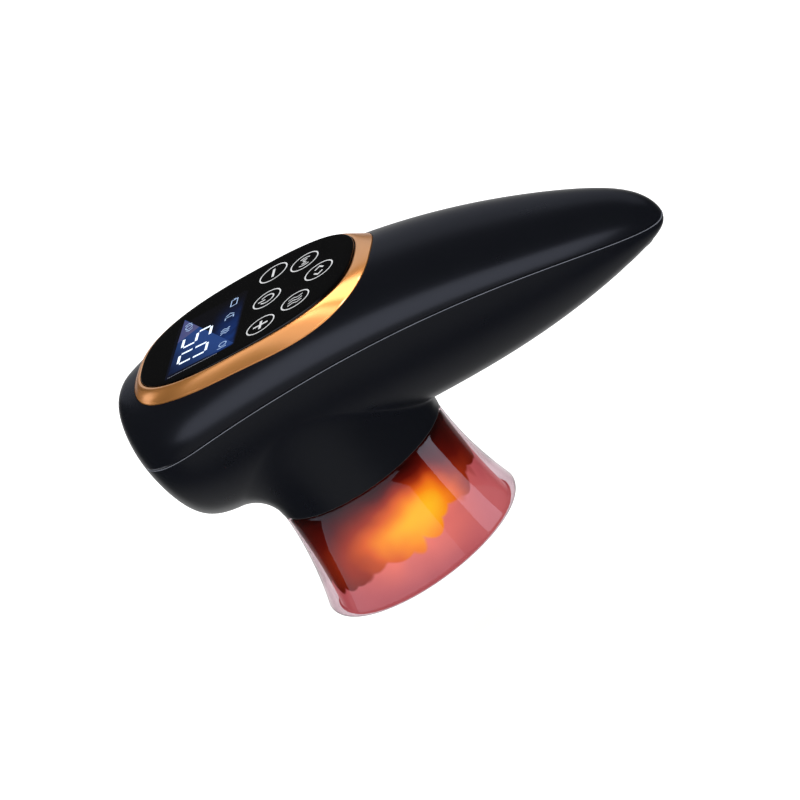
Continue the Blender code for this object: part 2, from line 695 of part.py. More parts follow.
def make_top_shell(looks, housing):
    reach, angle = outline_columns(COLUMNS)
    outer = surface_rows(reach, ring_reach(angle), angle, crown_surface)
    inner = inside_of(outer, 1)
    outer = set_rim(outer, 1)
    floor = FLOOR_OUTLINE_SHARE * panel_reach(angle)
    rows = [ray_row(floor, angle, FLOOR_BOTTOM)]
    rows += list(inner[:-1][::-1])
    rows += list(outer)
    rows += [ray_row(ring_reach(angle), angle, ring_seat(ring_reach(angle), angle)), ray_row(floor, angle, FLOOR_TOP)]
    shell = lofted("top_shell", rows, looks["shell"], parent=housing)
    for name, x, split in (
        ("top_boss_front", SHELL_SCREW_FRONT, SHELL_BOSS_SPLIT_FRONT),
        ("top_boss_rear", SHELL_SCREW_REAR, SHELL_BOSS_SPLIT_REAR),
    ):
        far = np.array(x + SHELL_BOSS_RADIUS)
        crown = float(crown_surface(far, np.array(SHELL_BOSS_RADIUS)))
        roof = FLOOR_BOTTOM + FLOOR_THICKNESS / 2 if x < PANEL_HANDLE_REACH + RING_WIDTH_HANDLE else crown - WALL / 2
        join(shell, rod(name, SHELL_BOSS_RADIUS, split + GAP, roof, looks["shell"], at=(x, 0)))
        hole = split + SHELL_SCREW_GRIP + SCREW_CLEARANCE
        bore = SHELL_SCREW_RADIUS + SCREW_CLEARANCE
        cut(shell, rod(name + "_bore", bore, split - OVERRUN, hole, looks["shell"], at=(x, 0)))
    lcd_half = (LCD_TO - LCD_FROM) / 2 + LCD_CLEARANCE
    window = rounded(lcd_half, LCD_HALF_WIDTH + LCD_CLEARANCE, LCD_CORNER)
    low, high = FLOOR_BOTTOM - OVERRUN, FLOOR_TOP + OVERRUN
    cut(shell, slab("display_opening", window, low, high, looks["shell"], centre=((LCD_FROM + LCD_TO) / 2, 0)))
    for i, place in enumerate(key_places()):
        cut(shell, rod(f"key_opening_{i}", KEY_PAD_RADIUS + KEY_CLEARANCE, low, high, looks["shell"], at=place))
    for i, place in enumerate(board_screw_places()):
        bore = SMALL_SCREW_RADIUS + SCREW_CLEARANCE
        cut(shell, rod(f"floor_bore_{i}", bore, low, high, looks["shell"], at=place, sides=SCREW_SIDES))
    return shell


def neck_blend(reach, angle):
    """Where the belly turns down into the neck, wider in front than behind."""
    front = (1 - np.cos(angle)) / 2
    width = NECK_BLEND_REAR + (NECK_BLEND_FRONT - NECK_BLEND_REAR) * front
    return NECK_RADIUS + np.minimum(width, NECK_BLEND_MOST_SHARE * (reach - NECK_RADIUS))


def belly_rows(reach, angle):
    """Rows of the keel from the outline to the neck's edge, the last ones a cubic curve into the upright neck."""
    start = neck_blend(reach, angle)
    rows = list(surface_rows(reach, start, angle, keel_surface))
    step = (start - NECK_RADIUS) / 2
    a, ahead = rows[-1], ray_row(start - step, angle, keel_surface)
    slope = (ahead[:, 2] - a[:, 2]) / step
    edge = ray_row(np.full_like(angle, NECK_RADIUS), angle, NECK_EDGE)
    pull = ray_row(start - step, angle, np.maximum(a[:, 2] + slope * step, NECK_EDGE + (a[:, 2] - NECK_EDGE) / 2))
    lift = edge.copy()
    lift[:, 2] += (a[:, 2] - NECK_EDGE) * 0.45
    for t in np.linspace(0, 1, BLEND_ROWS + 1)[1:]:
        s = 1 - t
        rows.append(s**3 * a + 3 * s * s * t * pull + 3 * s * t * t * lift + t**3 * edge)
    return np.array(rows)


def make_bottom_shell(looks, housing):
    reach, angle = outline_columns(COLUMNS)
    outer = belly_rows(reach, angle)
    inner = inside_of(outer, -1)
    outer = set_rim(outer, -1)
    inner[-1] = ray_row(np.full_like(angle, NECK_RADIUS - WALL), angle, NECK_EDGE)
    shell = lofted("bottom_shell", list(outer) + list(inner[::-1]), looks["shell"], capped=False, parent=housing)
    low = NECK_EDGE + COLLAR_INSET
    outside = COLLAR_RADIUS + COLLAR_WALL
    collar = (
        (outside, low),
        (outside, LEDGE_TOP),
        (COLLAR_RADIUS - LEDGE_WIDTH, LEDGE_TOP),
        (COLLAR_RADIUS - LEDGE_WIDTH, LEDGE_BOTTOM),
        (COLLAR_RADIUS, LEDGE_BOTTOM),
        (COLLAR_RADIUS, low),
    )
    join(shell, turned("neck_collar", collar, looks["shell"], capped=False))
    for i, place in enumerate(neck_screw_places()):
        boss = rod(f"neck_boss_{i}", NECK_BOSS_RADIUS, LEDGE_BOTTOM + GAP, NECK_BOSS_TOP, looks["shell"], at=place)
        bore = SMALL_SCREW_RADIUS + SCREW_CLEARANCE
        hole = rod(f"neck_bore_{i}", bore, LEDGE_BOTTOM - OVERRUN, NECK_BOSS_TOP + OVERRUN, looks["shell"], at=place)
        cut(join(shell, boss), hole)
    for i, x in enumerate(PEG_AT):
        floor = float(keel_surface(np.array(x), np.array(0.0))) + WALL / 2
        join(shell, rod(f"peg_boss_{i}", PEG_BOSS_RADIUS, floor, CRADLE_BASE_HEIGHT - GAP, looks["shell"], at=(x, 0)))
        low = CRADLE_BASE_HEIGHT - PEG_LENGTH - GAP
        hole = rod(f"peg_bore_{i}", PEG_RADIUS + GAP, low, CRADLE_BASE_HEIGHT + OVERRUN, looks["shell"], at=(x, 0))
        cut(shell, hole)
    for name, x, split in (
        ("boss_front", SHELL_SCREW_FRONT, SHELL_BOSS_SPLIT_FRONT),
        ("boss_rear", SHELL_SCREW_REAR, SHELL_BOSS_SPLIT_REAR),
    ):
        floor = float(keel_surface(np.array(x), np.array(0.0)))
        seat = floor + SHELL_BOSS_FLOOR + SHELL_HEAD_HEIGHT
        well = SHELL_HEAD_RADIUS + SCREW_CLEARANCE
        join(shell, rod(name, well + SHELL_WELL_WALL, floor + WALL / 2, split, looks["shell"], at=(x, 0)))
        cut(shell, rod(name + "_well", well, floor - OVERRUN * 2, seat, looks["shell"], at=(x, 0)))
        bore = SHELL_SCREW_RADIUS + SCREW_CLEARANCE
        cut(shell, rod(name + "_bore", bore, seat - OVERRUN, split + OVERRUN, looks["shell"], at=(x, 0)))
    mouth = rounded(
        PORT_BOX_LENGTH / 2 + GAP, PORT_BOX_HALF_WIDTH + GAP, PORT_BOX_LENGTH / 2 - GAP
    )
    low, high = PORT_BOX_BOTTOM - OVERRUN * 2, PORT_BOX_BOTTOM + PORT_BOX_HEIGHT / 2
    centre = (PORT_BOX_FROM + PORT_BOX_LENGTH / 2, 0)
    cut(shell, slab("port_slot", mouth, low, high, looks["shell"], centre=centre))
    return shell


def make_ring(looks, housing):
    _, angle = outline_columns(COLUMNS)
    outer, inner, lip = ring_reach(angle, -GAP), panel_reach(angle, GAP), panel_reach(angle, GAP + RING_LIP)
    top = ray_row(outer, angle, crown_surface)
    top[:, 2] += RING_PROUD
    rim = ray_row(lip, angle, PANEL_TOP - RING_BELOW_PANEL)
    rows = [
        ray_row(outer, angle, ring_seat(outer, angle) + GAP),
        top,
        rim,
        ray_row(inner, angle, PANEL_TOP - RING_BELOW_PANEL),
        ray_row(inner, angle, ring_seat(inner, angle) + GAP),
    ]
    return lofted("bezel_ring", rows, looks["gold"], capped=False, origin=(0, 0, PANEL_TOP), parent=housing)


def make_panel(looks, housing):
    _, angle = outline_columns(COLUMNS)
    low, high = PANEL_TOP - PANEL_THICKNESS, PANEL_TOP
    rows = [
        ray_row(panel_reach(angle), angle, low),
        ray_row(panel_reach(angle), angle, high - PANEL_EDGE),
        ray_row(panel_reach(angle, -PANEL_EDGE), angle, high),
    ]
    return lofted("touch_panel", rows, looks["panel"], origin=(0, 0, PANEL_TOP), parent=housing)


def make_shell_screws(looks, housing):
    """Two screws from below, each in a well that a soft plug closes."""
    for name, x, split in (
        ("front", SHELL_SCREW_FRONT, SHELL_BOSS_SPLIT_FRONT),
        ("rear", SHELL_SCREW_REAR, SHELL_BOSS_SPLIT_REAR),
    ):
        floor = float(keel_surface(np.array(x), np.array(0.0)))
        seat = floor + SHELL_BOSS_FLOOR + SHELL_HEAD_HEIGHT - GAP
        profile = (
            (SHELL_HEAD_RADIUS, seat - SHELL_HEAD_HEIGHT),
            (SHELL_HEAD_RADIUS, seat),
            (SHELL_SCREW_RADIUS, seat),
            (SHELL_SCREW_RADIUS, split + SHELL_SCREW_GRIP - SHELL_SCREW_RADIUS),
            (SHELL_SCREW_RADIUS / 2, split + SHELL_SCREW_GRIP),
        )
        turned(f"shell_screw_{name}", profile, looks["steel"], (x, 0, 0), sides=SCREW_SIDES, parent=housing)
        top = seat - SHELL_HEAD_HEIGHT - GAP
        plug = ((SHELL_HEAD_RADIUS, top - PLUG_THICKNESS), (SHELL_HEAD_RADIUS, top))
        turned(f"screw_plug_{name}", plug, looks["rubber"], (x, 0, 0), sides=SCREW_SIDES, parent=housing)


# Display and keys


def board_screw_places():
    nose, tail = BOARD_SCREW_NOSE, BOARD_SCREW_TAIL
    return [nose, (nose[0], -nose[1]), tail, (tail[0], -tail[1])]


def key_places():
    """Plus, power and minus in one row, heat and suction beyond, mode at the handle end."""
    return [
        (KEY_AT, -KEY_ROW),
        (KEY_AT, 0),
        (KEY_AT, KEY_ROW),
        (KEY_AT + KEY_SIDE_STEP, -KEY_SIDE),
        (KEY_AT + KEY_SIDE_STEP, KEY_SIDE),
        (KEY_AT + KEY_END_STEP, 0),
    ]


def screw_up(name, place, seat, grip, looks, parent):
    """Small screw whose head lies under seat and whose shank runs up by grip."""
    profile = (
        (SMALL_HEAD_RADIUS * 0.8, seat - SMALL_HEAD_HEIGHT),
        (SMALL_HEAD_RADIUS, seat - SMALL_HEAD_HEIGHT / 2),
        (SMALL_HEAD_RADIUS, seat),
        (SMALL_SCREW_RADIUS, seat),
        (SMALL_SCREW_RADIUS, seat + grip),
    )
    return turned(name, profile, looks["steel"], (*place, 0), sides=SCREW_SIDES, parent=parent)


def make_display(looks, housing):
    middle = (LCD_FROM + LCD_TO) / 2
    outline = rounded((LCD_TO - LCD_FROM) / 2, LCD_HALF_WIDTH, LCD_CORNER)
    low, high = KEY_BOARD_TOP + GAP, FLOOR_TOP
    slab("display_module", outline, low, high, looks["lcd"], centre=(middle, 0), parent=housing)
    outline = rounded(BOARD_HALF_LENGTH, BOARD_HALF_WIDTH, BOARD_CORNER, steps=6)
    board = slab("display_board", outline, KEY_BOARD_BOTTOM, KEY_BOARD_TOP, looks["board"], parent=housing)
    low, high = KEY_BOARD_BOTTOM - OVERRUN, KEY_BOARD_TOP + OVERRUN
    for i, place in enumerate(board_screw_places()):
        bore = SMALL_SCREW_RADIUS + SCREW_CLEARANCE
        cut(board, rod(f"board_bore_{i}", bore, low, high, looks["board"], at=place, sides=SCREW_SIDES))
        grip = FLOOR_TOP - KEY_BOARD_BOTTOM
        screw_up(f"board_screw_{i + 1}", place, KEY_BOARD_BOTTOM - GAP, grip, looks, housing)
    half = (KEY_SHEET_TO - KEY_SHEET_FROM) / 2
    outline = rounded(half, KEY_SHEET_HALF_WIDTH, KEY_SHEET_CORNER, steps=6)
    middle = ((KEY_SHEET_FROM + KEY_SHEET_TO) / 2, 0)
    sheet = slab(
        "key_pad_sheet", outline, KEY_SHEET_BOTTOM, KEY_SHEET_TOP, looks["rubber"], centre=middle, parent=housing
    )
    for i, place in enumerate(key_places()):
        pad = rod(f"key_pad_{i}", KEY_PAD_RADIUS, KEY_SHEET_TOP - GAP, FLOOR_TOP, looks["rubber"], at=place)
        join(sheet, pad)
    low, high = KEY_SHEET_BOTTOM - OVERRUN, KEY_SHEET_TOP + OVERRUN
    for i, place in enumerate(board_screw_places()[2:]):
        bore = SMALL_SCREW_RADIUS + SCREW_CLEARANCE
        cut(sheet, rod(f"sheet_bore_{i}", bore, low, high, looks["rubber"], at=place, sides=SCREW_SIDES))


# Neck: cup, socket, light and suction port


def neck_screw_places():
    turns = (0, 2 * math.pi / 3, 4 * math.pi / 3)
    return [(NECK_SCREW_CIRCLE * math.cos(a), NECK_SCREW_CIRCLE * math.sin(a)) for a in turns]


def make_cup(looks, cup_axis):
    """Glass bell: flat rim, rounded lip, flaring wall, shoulder under the neck's edge, and a spigot in the socket."""
    shoulder = NECK_EDGE - GAP
    top_radius = NECK_RADIUS - CUP_SHOULDER_INSET
    flare = CUP_RIM_RADIUS - top_radius
    lip_inner = CUP_RIM_RADIUS - CUP_LIP_ROUND - CUP_LIP_FLAT - CUP_LIP_INNER_ROUND
    profile = []
    for t in np.linspace(0, 1, CUP_WALL_ROWS):
        profile.append((top_radius + flare * t**CUP_FLARE_POWER, shoulder + (CUP_LIP_ROUND - shoulder) * t))
    for a in np.linspace(0, math.pi / 2, CUP_LIP_ROWS)[1:]:
        profile.append((CUP_RIM_RADIUS - CUP_LIP_ROUND * (1 - math.cos(a)), CUP_LIP_ROUND * (1 - math.sin(a))))
    for a in np.linspace(0, math.pi / 2, CUP_LIP_ROWS):
        profile.append((lip_inner + CUP_LIP_INNER_ROUND * (1 - math.sin(a)), CUP_LIP_INNER_ROUND * (1 - math.cos(a))))
    inner_top = top_radius - CUP_WALL
    throat = shoulder - CUP_WALL
    for t in np.linspace(0, 1, CUP_WALL_ROWS)[1:]:
        radius = inner_top + (lip_inner - inner_top) * (1 - t) ** CUP_FLARE_POWER
        profile.append((radius, CUP_LIP_INNER_ROUND + (throat - CUP_LIP_INNER_ROUND) * t))
    bore = SPIGOT_RADIUS - CUP_WALL
    profile += [(bore, throat), (bore, SPIGOT_TOP), (SPIGOT_RADIUS, SPIGOT_TOP), (SPIGOT_RADIUS, shoulder)]
    turned("cup", profile, looks["glass"], capped=False, sides=CUP_SIDES, parent=cup_axis)


def make_socket(looks, housing):
    radius = COLLAR_RADIUS - GAP
    low = NECK_EDGE + SKIRT_INSET
    hole = PORT_RADIUS + GAP
    profile = (
        (radius, low),
        (radius, PLATE_TOP),
        (hole, PLATE_TOP),
        (hole, PLATE_BOTTOM),
        (radius - SOCKET_WALL, PLATE_BOTTOM),
        (radius - SOCKET_WALL, low),
    )
    socket = turned("cup_socket", profile, looks["plastic"], capped=False, parent=housing)
    for i, place in enumerate(neck_screw_places()):
        bore = SMALL_SCREW_RADIUS + SCREW_CLEARANCE
        low, high = PLATE_BOTTOM - OVERRUN, PLATE_TOP + OVERRUN
        cut(socket, rod(f"socket_bore_{i}", bore, low, high, looks["plastic"], at=place, sides=SCREW_SIDES))
        grip = PLATE_THICKNESS + NECK_SCREW_GRIP
        screw_up(f"socket_screw_{i + 1}", place, PLATE_BOTTOM - GAP, grip, looks, housing)
    inner = SPIGOT_RADIUS - CUP_WALL
    high = GASKET_BOTTOM + GASKET_THICKNESS
    gasket = ((inner, GASKET_BOTTOM), (inner, high), (SPIGOT_RADIUS, high), (SPIGOT_RADIUS, GASKET_BOTTOM))
    turned("cup_gasket", gasket, looks["silicone"], capped=False, parent=housing)


def make_light(looks, housing):
    hole = PORT_RADIUS + GAP
    high = PLATE_BOTTOM - GAP
    low = high - BOARD_THICKNESS
    profile = ((LIGHT_BOARD_RADIUS, low), (LIGHT_BOARD_RADIUS, high), (hole, high), (hole, low))
    board = turned("light_board", profile, looks["pale"], capped=False, parent=housing)
    for i in range(LAMP_COUNT):
        a = 2 * math.pi * (i + 0.5) / LAMP_COUNT
        place = (LAMP_CIRCLE * math.cos(a), LAMP_CIRCLE * math.sin(a))
        lamp = ((LAMP_RADIUS / 2, low - LAMP_HEIGHT), (LAMP_RADIUS, low - LAMP_HEIGHT / 2), (LAMP_RADIUS, low + GAP))
        join(board, turned(f"lamp_{i}", lamp, looks["window"], (*place, 0), sides=SCREW_SIDES))
    foot = high - WINDOW_DEPTH
    inner = WINDOW_RADIUS - WINDOW_WALL
    shade = (
        (WINDOW_RADIUS, high),
        (inner, high),
        (inner, foot + WINDOW_WALL * 2),
        (inner * 0.75, foot + WINDOW_WALL * 1.3),
        (hole, foot + WINDOW_WALL),
        (hole, foot),
        (inner * 0.75, foot + WINDOW_WALL * 0.3),
        (WINDOW_RADIUS, foot + WINDOW_WALL),
    )
    turned("light_window", shade, looks["window"], capped=False, parent=housing)


def make_port(looks, housing):
    """Suction port through the window, light board and plate, with a filter held in its flange."""
    foot = PLATE_BOTTOM - GAP - WINDOW_DEPTH - PORT_BELOW_WINDOW
    top = BARB_HEIGHT + PORT_RADIUS * 0.7
    profile = (
        (PORT_FLANGE_RADIUS, foot - PORT_FLANGE),
        (PORT_FLANGE_RADIUS, foot),
        (PORT_RADIUS, foot),
        (PORT_RADIUS, top),
    )
    port = turned("suction_port", profile, looks["pale"], sides=16, parent=housing)
    start = -PORT_RADIUS / 2
    end = -PORT_RADIUS - BARB_LENGTH
    join(port, rod("port_barb", BARB_RADIUS, end, start, looks["pale"], at=(0, BARB_HEIGHT), axis="X"))
    cut(port, rod("port_bore", PORT_BORE, foot - OVERRUN * 2, BARB_HEIGHT, looks["pale"]))
    cut(port, rod("barb_bore", BARB_BORE, end - OVERRUN, 0, looks["pale"], at=(0, BARB_HEIGHT), axis="X"))
    high = foot - PORT_FLANGE - GAP
    disc = ((FILTER_RADIUS, high - FILTER_THICKNESS), (FILTER_RADIUS, high))
    turned("filter_disc", disc, looks["foam"], sides=16, parent=housing)


# Pump along X


def pump_square():
    return rounded(PUMP_HALF_SIDE, PUMP_HALF_SIDE, PUMP_CORNER, steps=7)


def make_bracket(looks, housing):
    middle = (BRACKET_FROM + BRACKET_TO) / 2
    outline = rounded((BRACKET_TO - BRACKET_FROM) / 2, BRACKET_HALF_WIDTH, BRACKET_CORNER)
    bracket = slab(
        "pump_bracket", outline, BRACKET_BOTTOM, BRACKET_TOP, looks["plastic"], centre=(middle, 0), parent=housing
    )
    half = CRADLE_HALF_WIDTH
    for i, x in enumerate((CRADLE_RIB_FRONT, CRADLE_RIB_REAR)):
        low = (x, -half, BRACKET_TOP - GAP)
        high = (x + CRADLE_RIB, half, BRACKET_TOP + CRADLE_RIB_RISE)
        join(bracket, block(f"cradle_rib_{i}", low, high, looks["plastic"]))
    arm = valve_arm_side()
    low = (VALVE_FROM, arm - VALVE_ARM_THICKNESS, BRACKET_TOP - GAP)
    high = (VALVE_FROM + VALVE_LENGTH, arm, VALVE_HEIGHT + VALVE_HALF)
    join(bracket, block("valve_arm", low, high, looks["plastic"]))
    radius = SLEEVE_RADIUS + GAP
    low, high = CRADLE_RIB_FRONT - OVERRUN, CRADLE_RIB_REAR + CRADLE_RIB + OVERRUN
    saddle = rod("cradle_bore", radius, low, high, looks["plastic"], at=(0, MOTOR_HEIGHT), axis="X", sides=24)
    cut(bracket, saddle)
    for i, place in enumerate(neck_screw_places()[1:]):
        bore = SMALL_SCREW_RADIUS + SCREW_CLEARANCE
        low, high = BRACKET_BOTTOM - OVERRUN, BRACKET_TOP + OVERRUN
        cut(bracket, rod(f"bracket_bore_{i}", bore, low, high, looks["plastic"], at=place, sides=SCREW_SIDES))
        seat = BRACKET_TOP + GAP
        foot = BRACKET_BOTTOM - NECK_SCREW_GRIP + GAP
        profile = (
            (SMALL_SCREW_RADIUS, foot),
            (SMALL_SCREW_RADIUS, seat),
            (SMALL_HEAD_RADIUS, seat),
            (SMALL_HEAD_RADIUS, seat + SMALL_HEAD_HEIGHT),
        )
        name = f"bracket_screw_{i + 1}"
        turned(name, profile, looks["steel"], (*place, 0), sides=SCREW_SIDES, parent=housing)


def make_motor(looks, housing, pump_axis):
    centre = (0, 0, MOTOR_HEIGHT)
    along = dict(centre=centre, axis="X")
    hole = SHAFT_RADIUS + GAP
    inner = MOTOR_RADIUS - MOTOR_SHEET
    can = (
        (hole, 0),
        (MOTOR_RADIUS, 0),
        (MOTOR_RADIUS, MOTOR_LENGTH),
        (inner, MOTOR_LENGTH),
        (inner, MOTOR_SHEET),
        (hole, MOTOR_SHEET),
    )
    turned("motor_can", can, looks["steel"], capped=False, parent=housing, **along)
    start = MOTOR_LENGTH + GAP
    cap = (
        (hole, start),
        (MOTOR_RADIUS, start),
        (MOTOR_RADIUS, start + MOTOR_CAP),
        (MOTOR_BEARING_RADIUS, start + MOTOR_CAP),
        (MOTOR_BEARING_RADIUS, start + MOTOR_CAP + MOTOR_BEARING),
        (hole, start + MOTOR_CAP + MOTOR_BEARING),
    )
    turned("motor_end_cap", cap, looks["pale"], capped=False, parent=housing, **along)
    outer, magnet = inner - GAP, inner - GAP - MAGNET_THICKNESS
    ring = ((magnet, MAGNET_FROM), (outer, MAGNET_FROM), (outer, MAGNET_TO), (magnet, MAGNET_TO))
    turned("motor_magnet", ring, looks["magnet"], capped=False, parent=housing, **along)
    inside, end = MOTOR_RADIUS + GAP, CRADLE_RIB_REAR + CRADLE_RIB + GAP
    begin = CRADLE_RIB_FRONT - GAP
    sleeve = ((inside, begin), (SLEEVE_RADIUS, begin), (SLEEVE_RADIUS, end), (inside, end))
    turned("motor_sleeve", sleeve, looks["rubber"], capped=False, parent=housing, **along)
    rotor = (
        (CRANK_RADIUS, CRANK_FROM),
        (CRANK_RADIUS, CRANK_TO),
        (SHAFT_RADIUS, CRANK_TO),
        (SHAFT_RADIUS, ARMATURE_FROM),
        (ARMATURE_RADIUS, ARMATURE_FROM),
        (ARMATURE_RADIUS, ARMATURE_TO),
        (COMMUTATOR_RADIUS, ARMATURE_TO),
        (COMMUTATOR_RADIUS, COMMUTATOR_TO),
        (SHAFT_RADIUS, COMMUTATOR_TO),
        (SHAFT_RADIUS, start + MOTOR_CAP),
    )
    made = turned("motor_rotor", rotor, looks["copper"], sides=24, parent=pump_axis, **along)
    pin_at = (CRANK_PIN_OFFSET, MOTOR_HEIGHT)
    end = CRANK_FROM + GAP
    join(made, rod("crank_pin", CRANK_PIN_RADIUS, CRANK_PIN_TO, end, looks["steel"], at=pin_at, axis="X"))


def make_pump(looks, housing):
    square = pump_square()
    sides = len(square)
    turn = np.arange(sides) * 2 * math.pi / sides
    circle = np.c_[np.cos(turn), np.sin(turn)]

    def row(outline, x):
        return laid(outline[:, 0], outline[:, 1] + MOTOR_HEIGHT, x, "X")

    where = dict(origin=(0, 0, MOTOR_HEIGHT), parent=housing)
    end = -PUMP_HOUSING_LENGTH
    hole = SHAFT_RADIUS + GAP
    rows = [
        row(square, -GAP),
        row(square, end),
        row(PUMP_BORE * circle, end),
        row(PUMP_BORE * circle, CRANK_TO + GAP),
        row(hole * circle, CRANK_TO + GAP),
        row(hole * circle, -GAP),
    ]
    lofted("pump_housing", rows, looks["pale"], capped=False, **where)
    begin, stop = SWING_FROM, SWING_FROM - SWING_THICKNESS
    swing = ((SWING_BORE, begin), (SWING_RADIUS, begin), (SWING_RADIUS, stop), (SWING_BORE, stop))
    turned("swing_plate", swing, looks["pale"], (0, 0, MOTOR_HEIGHT), "X", False, 24, parent=housing)
    x = end - GAP
    sheet = lofted("diaphragm", [row(square, x), row(square, x - DIAPHRAGM_THICKNESS)], looks["rubber"], **where)
    for i in range(BELLOWS_COUNT):
        a = 2 * math.pi * i / BELLOWS_COUNT
        at = (BELLOWS_CIRCLE * math.cos(a), MOTOR_HEIGHT + BELLOWS_CIRCLE * math.sin(a))
        low, high = x - DIAPHRAGM_THICKNESS / 2, stop - GAP
        join(sheet, rod(f"bellows_{i}", BELLOWS_RADIUS, low, high, looks["rubber"], at=at, axis="X", sides=12))
    x -= DIAPHRAGM_THICKNESS + GAP
    rows = [row(square, x), row(square, x - VALVE_PLATE_THICKNESS)]
    lofted("valve_plate", rows, looks["pale"], **where)
    x -= VALVE_PLATE_THICKNESS + GAP
    foot = x - PUMP_COVER_THICKNESS
    rows = [row(square, x), row(square, foot + PUMP_CORNER / 2), row(square * 0.85, foot)]
    cover = lofted("pump_cover", rows, looks["pale"], **where)
    at, tip = (0, PUMP_PORT_HEIGHT), foot - BARB_LENGTH
    join(cover, rod("cover_barb", BARB_RADIUS, tip, foot + PUMP_CORNER / 2, looks["pale"], at=at, axis="X"))
    cut(cover, rod("cover_bore", BARB_BORE, tip - OVERRUN, foot + PUMP_CORNER, looks["pale"], at=at, axis="X"))
    return tip


# Release valve beside the motor


def valve_arm_side():
    """Outer face of the bracket's arm, one gap inside the valve's frame."""
    return VALVE_SIDE - VALVE_HALF - GAP


def make_valve(looks, housing, valve_axis):
    at = (VALVE_SIDE, VALVE_HEIGHT)
    end = VALVE_FROM + VALVE_LENGTH
    side = VALVE_SIDE - VALVE_HALF
    low_z, high_z = VALVE_HEIGHT - VALVE_HALF, VALVE_HEIGHT + VALVE_HALF
    frame = block("valve_frame", (VALVE_FROM, side, low_z), (end, VALVE_SIDE + VALVE_HALF, high_z), looks["steel"],
                  parent=housing)
    low = (VALVE_FROM + VALVE_SHEET, side + VALVE_SHEET, low_z - OVERRUN)
    high = (end - VALVE_SHEET, VALVE_SIDE + VALVE_HALF + OVERRUN, high_z + OVERRUN)
    cut(frame, block("valve_frame_inside", low, high, looks["steel"]))
    low, high = VALVE_FROM - OVERRUN, end + OVERRUN
    cut(frame, rod("valve_frame_bore", COIL_BORE, low, high, looks["steel"], at=at, axis="X"))
    low, high = VALVE_FROM + VALVE_SHEET + GAP, end - VALVE_SHEET - GAP
    coil = ((COIL_BORE, low), (COIL_RADIUS, low), (COIL_RADIUS, high), (COIL_BORE, high))
    turned("valve_coil", coil, looks["copper"], (0, *at), "X", False, 24, parent=housing)
    head = end + PLUNGER_REST_OUT
    tail = head - PLUNGER_LENGTH
    rod_profile = (
        (PLUNGER_RADIUS, tail),
        (PLUNGER_RADIUS, head - PLUNGER_HEAD),
        (PLUNGER_HEAD_RADIUS, head - PLUNGER_HEAD),
        (PLUNGER_HEAD_RADIUS, head),
    )
    turned("valve_plunger", rod_profile, looks["steel"], (0, *at), "X", sides=16, parent=valve_axis)
    low, high = end + GAP + SPRING_WIRE, head - PLUNGER_HEAD - GAP - SPRING_WIRE
    t = np.linspace(0, 1, SPRING_TURNS * SPRING_TURN_POINTS + 1)
    turn = 2 * math.pi * SPRING_TURNS * t
    path = np.stack((low + (high - low) * t, SPRING_RADIUS * np.cos(turn), SPRING_RADIUS * np.sin(turn)), -1)
    curve = bpy.data.curves.new("valve_spring", "CURVE")
    curve.dimensions = "3D"
    curve.bevel_depth = SPRING_WIRE
    curve.bevel_resolution = 0
    curve.use_fill_caps = True
    spline = curve.splines.new("POLY")
    spline.points.add(len(path) - 1)
    spline.points.foreach_set("co", np.c_[path, np.ones(len(path))].ravel())
    curve.materials.append(looks["steel"])
    spring = bpy.data.objects.new("valve_spring", curve)
    bpy.context.scene.collection.objects.link(spring)
    spring.parent = housing
    spring.location = (AXIS_X, *at)
    spring.location = spring.location - housing.location
    start = VALVE_FROM - GAP
    stop = start - VALVE_CAP
    tip = stop - BARB_LENGTH
    cap = ((VALVE_CAP_RADIUS, start), (VALVE_CAP_RADIUS, stop), (BARB_RADIUS, stop), (BARB_RADIUS, tip))
    seat = turned("valve_seat", cap, looks["pale"], (0, *at), "X", sides=24, parent=housing)
    bore = rod("valve_seat_bore", BARB_BORE, tip - OVERRUN, start + OVERRUN, looks["pale"], at=at, axis="X")
    cut(seat, bore)
    return tip


# Air path


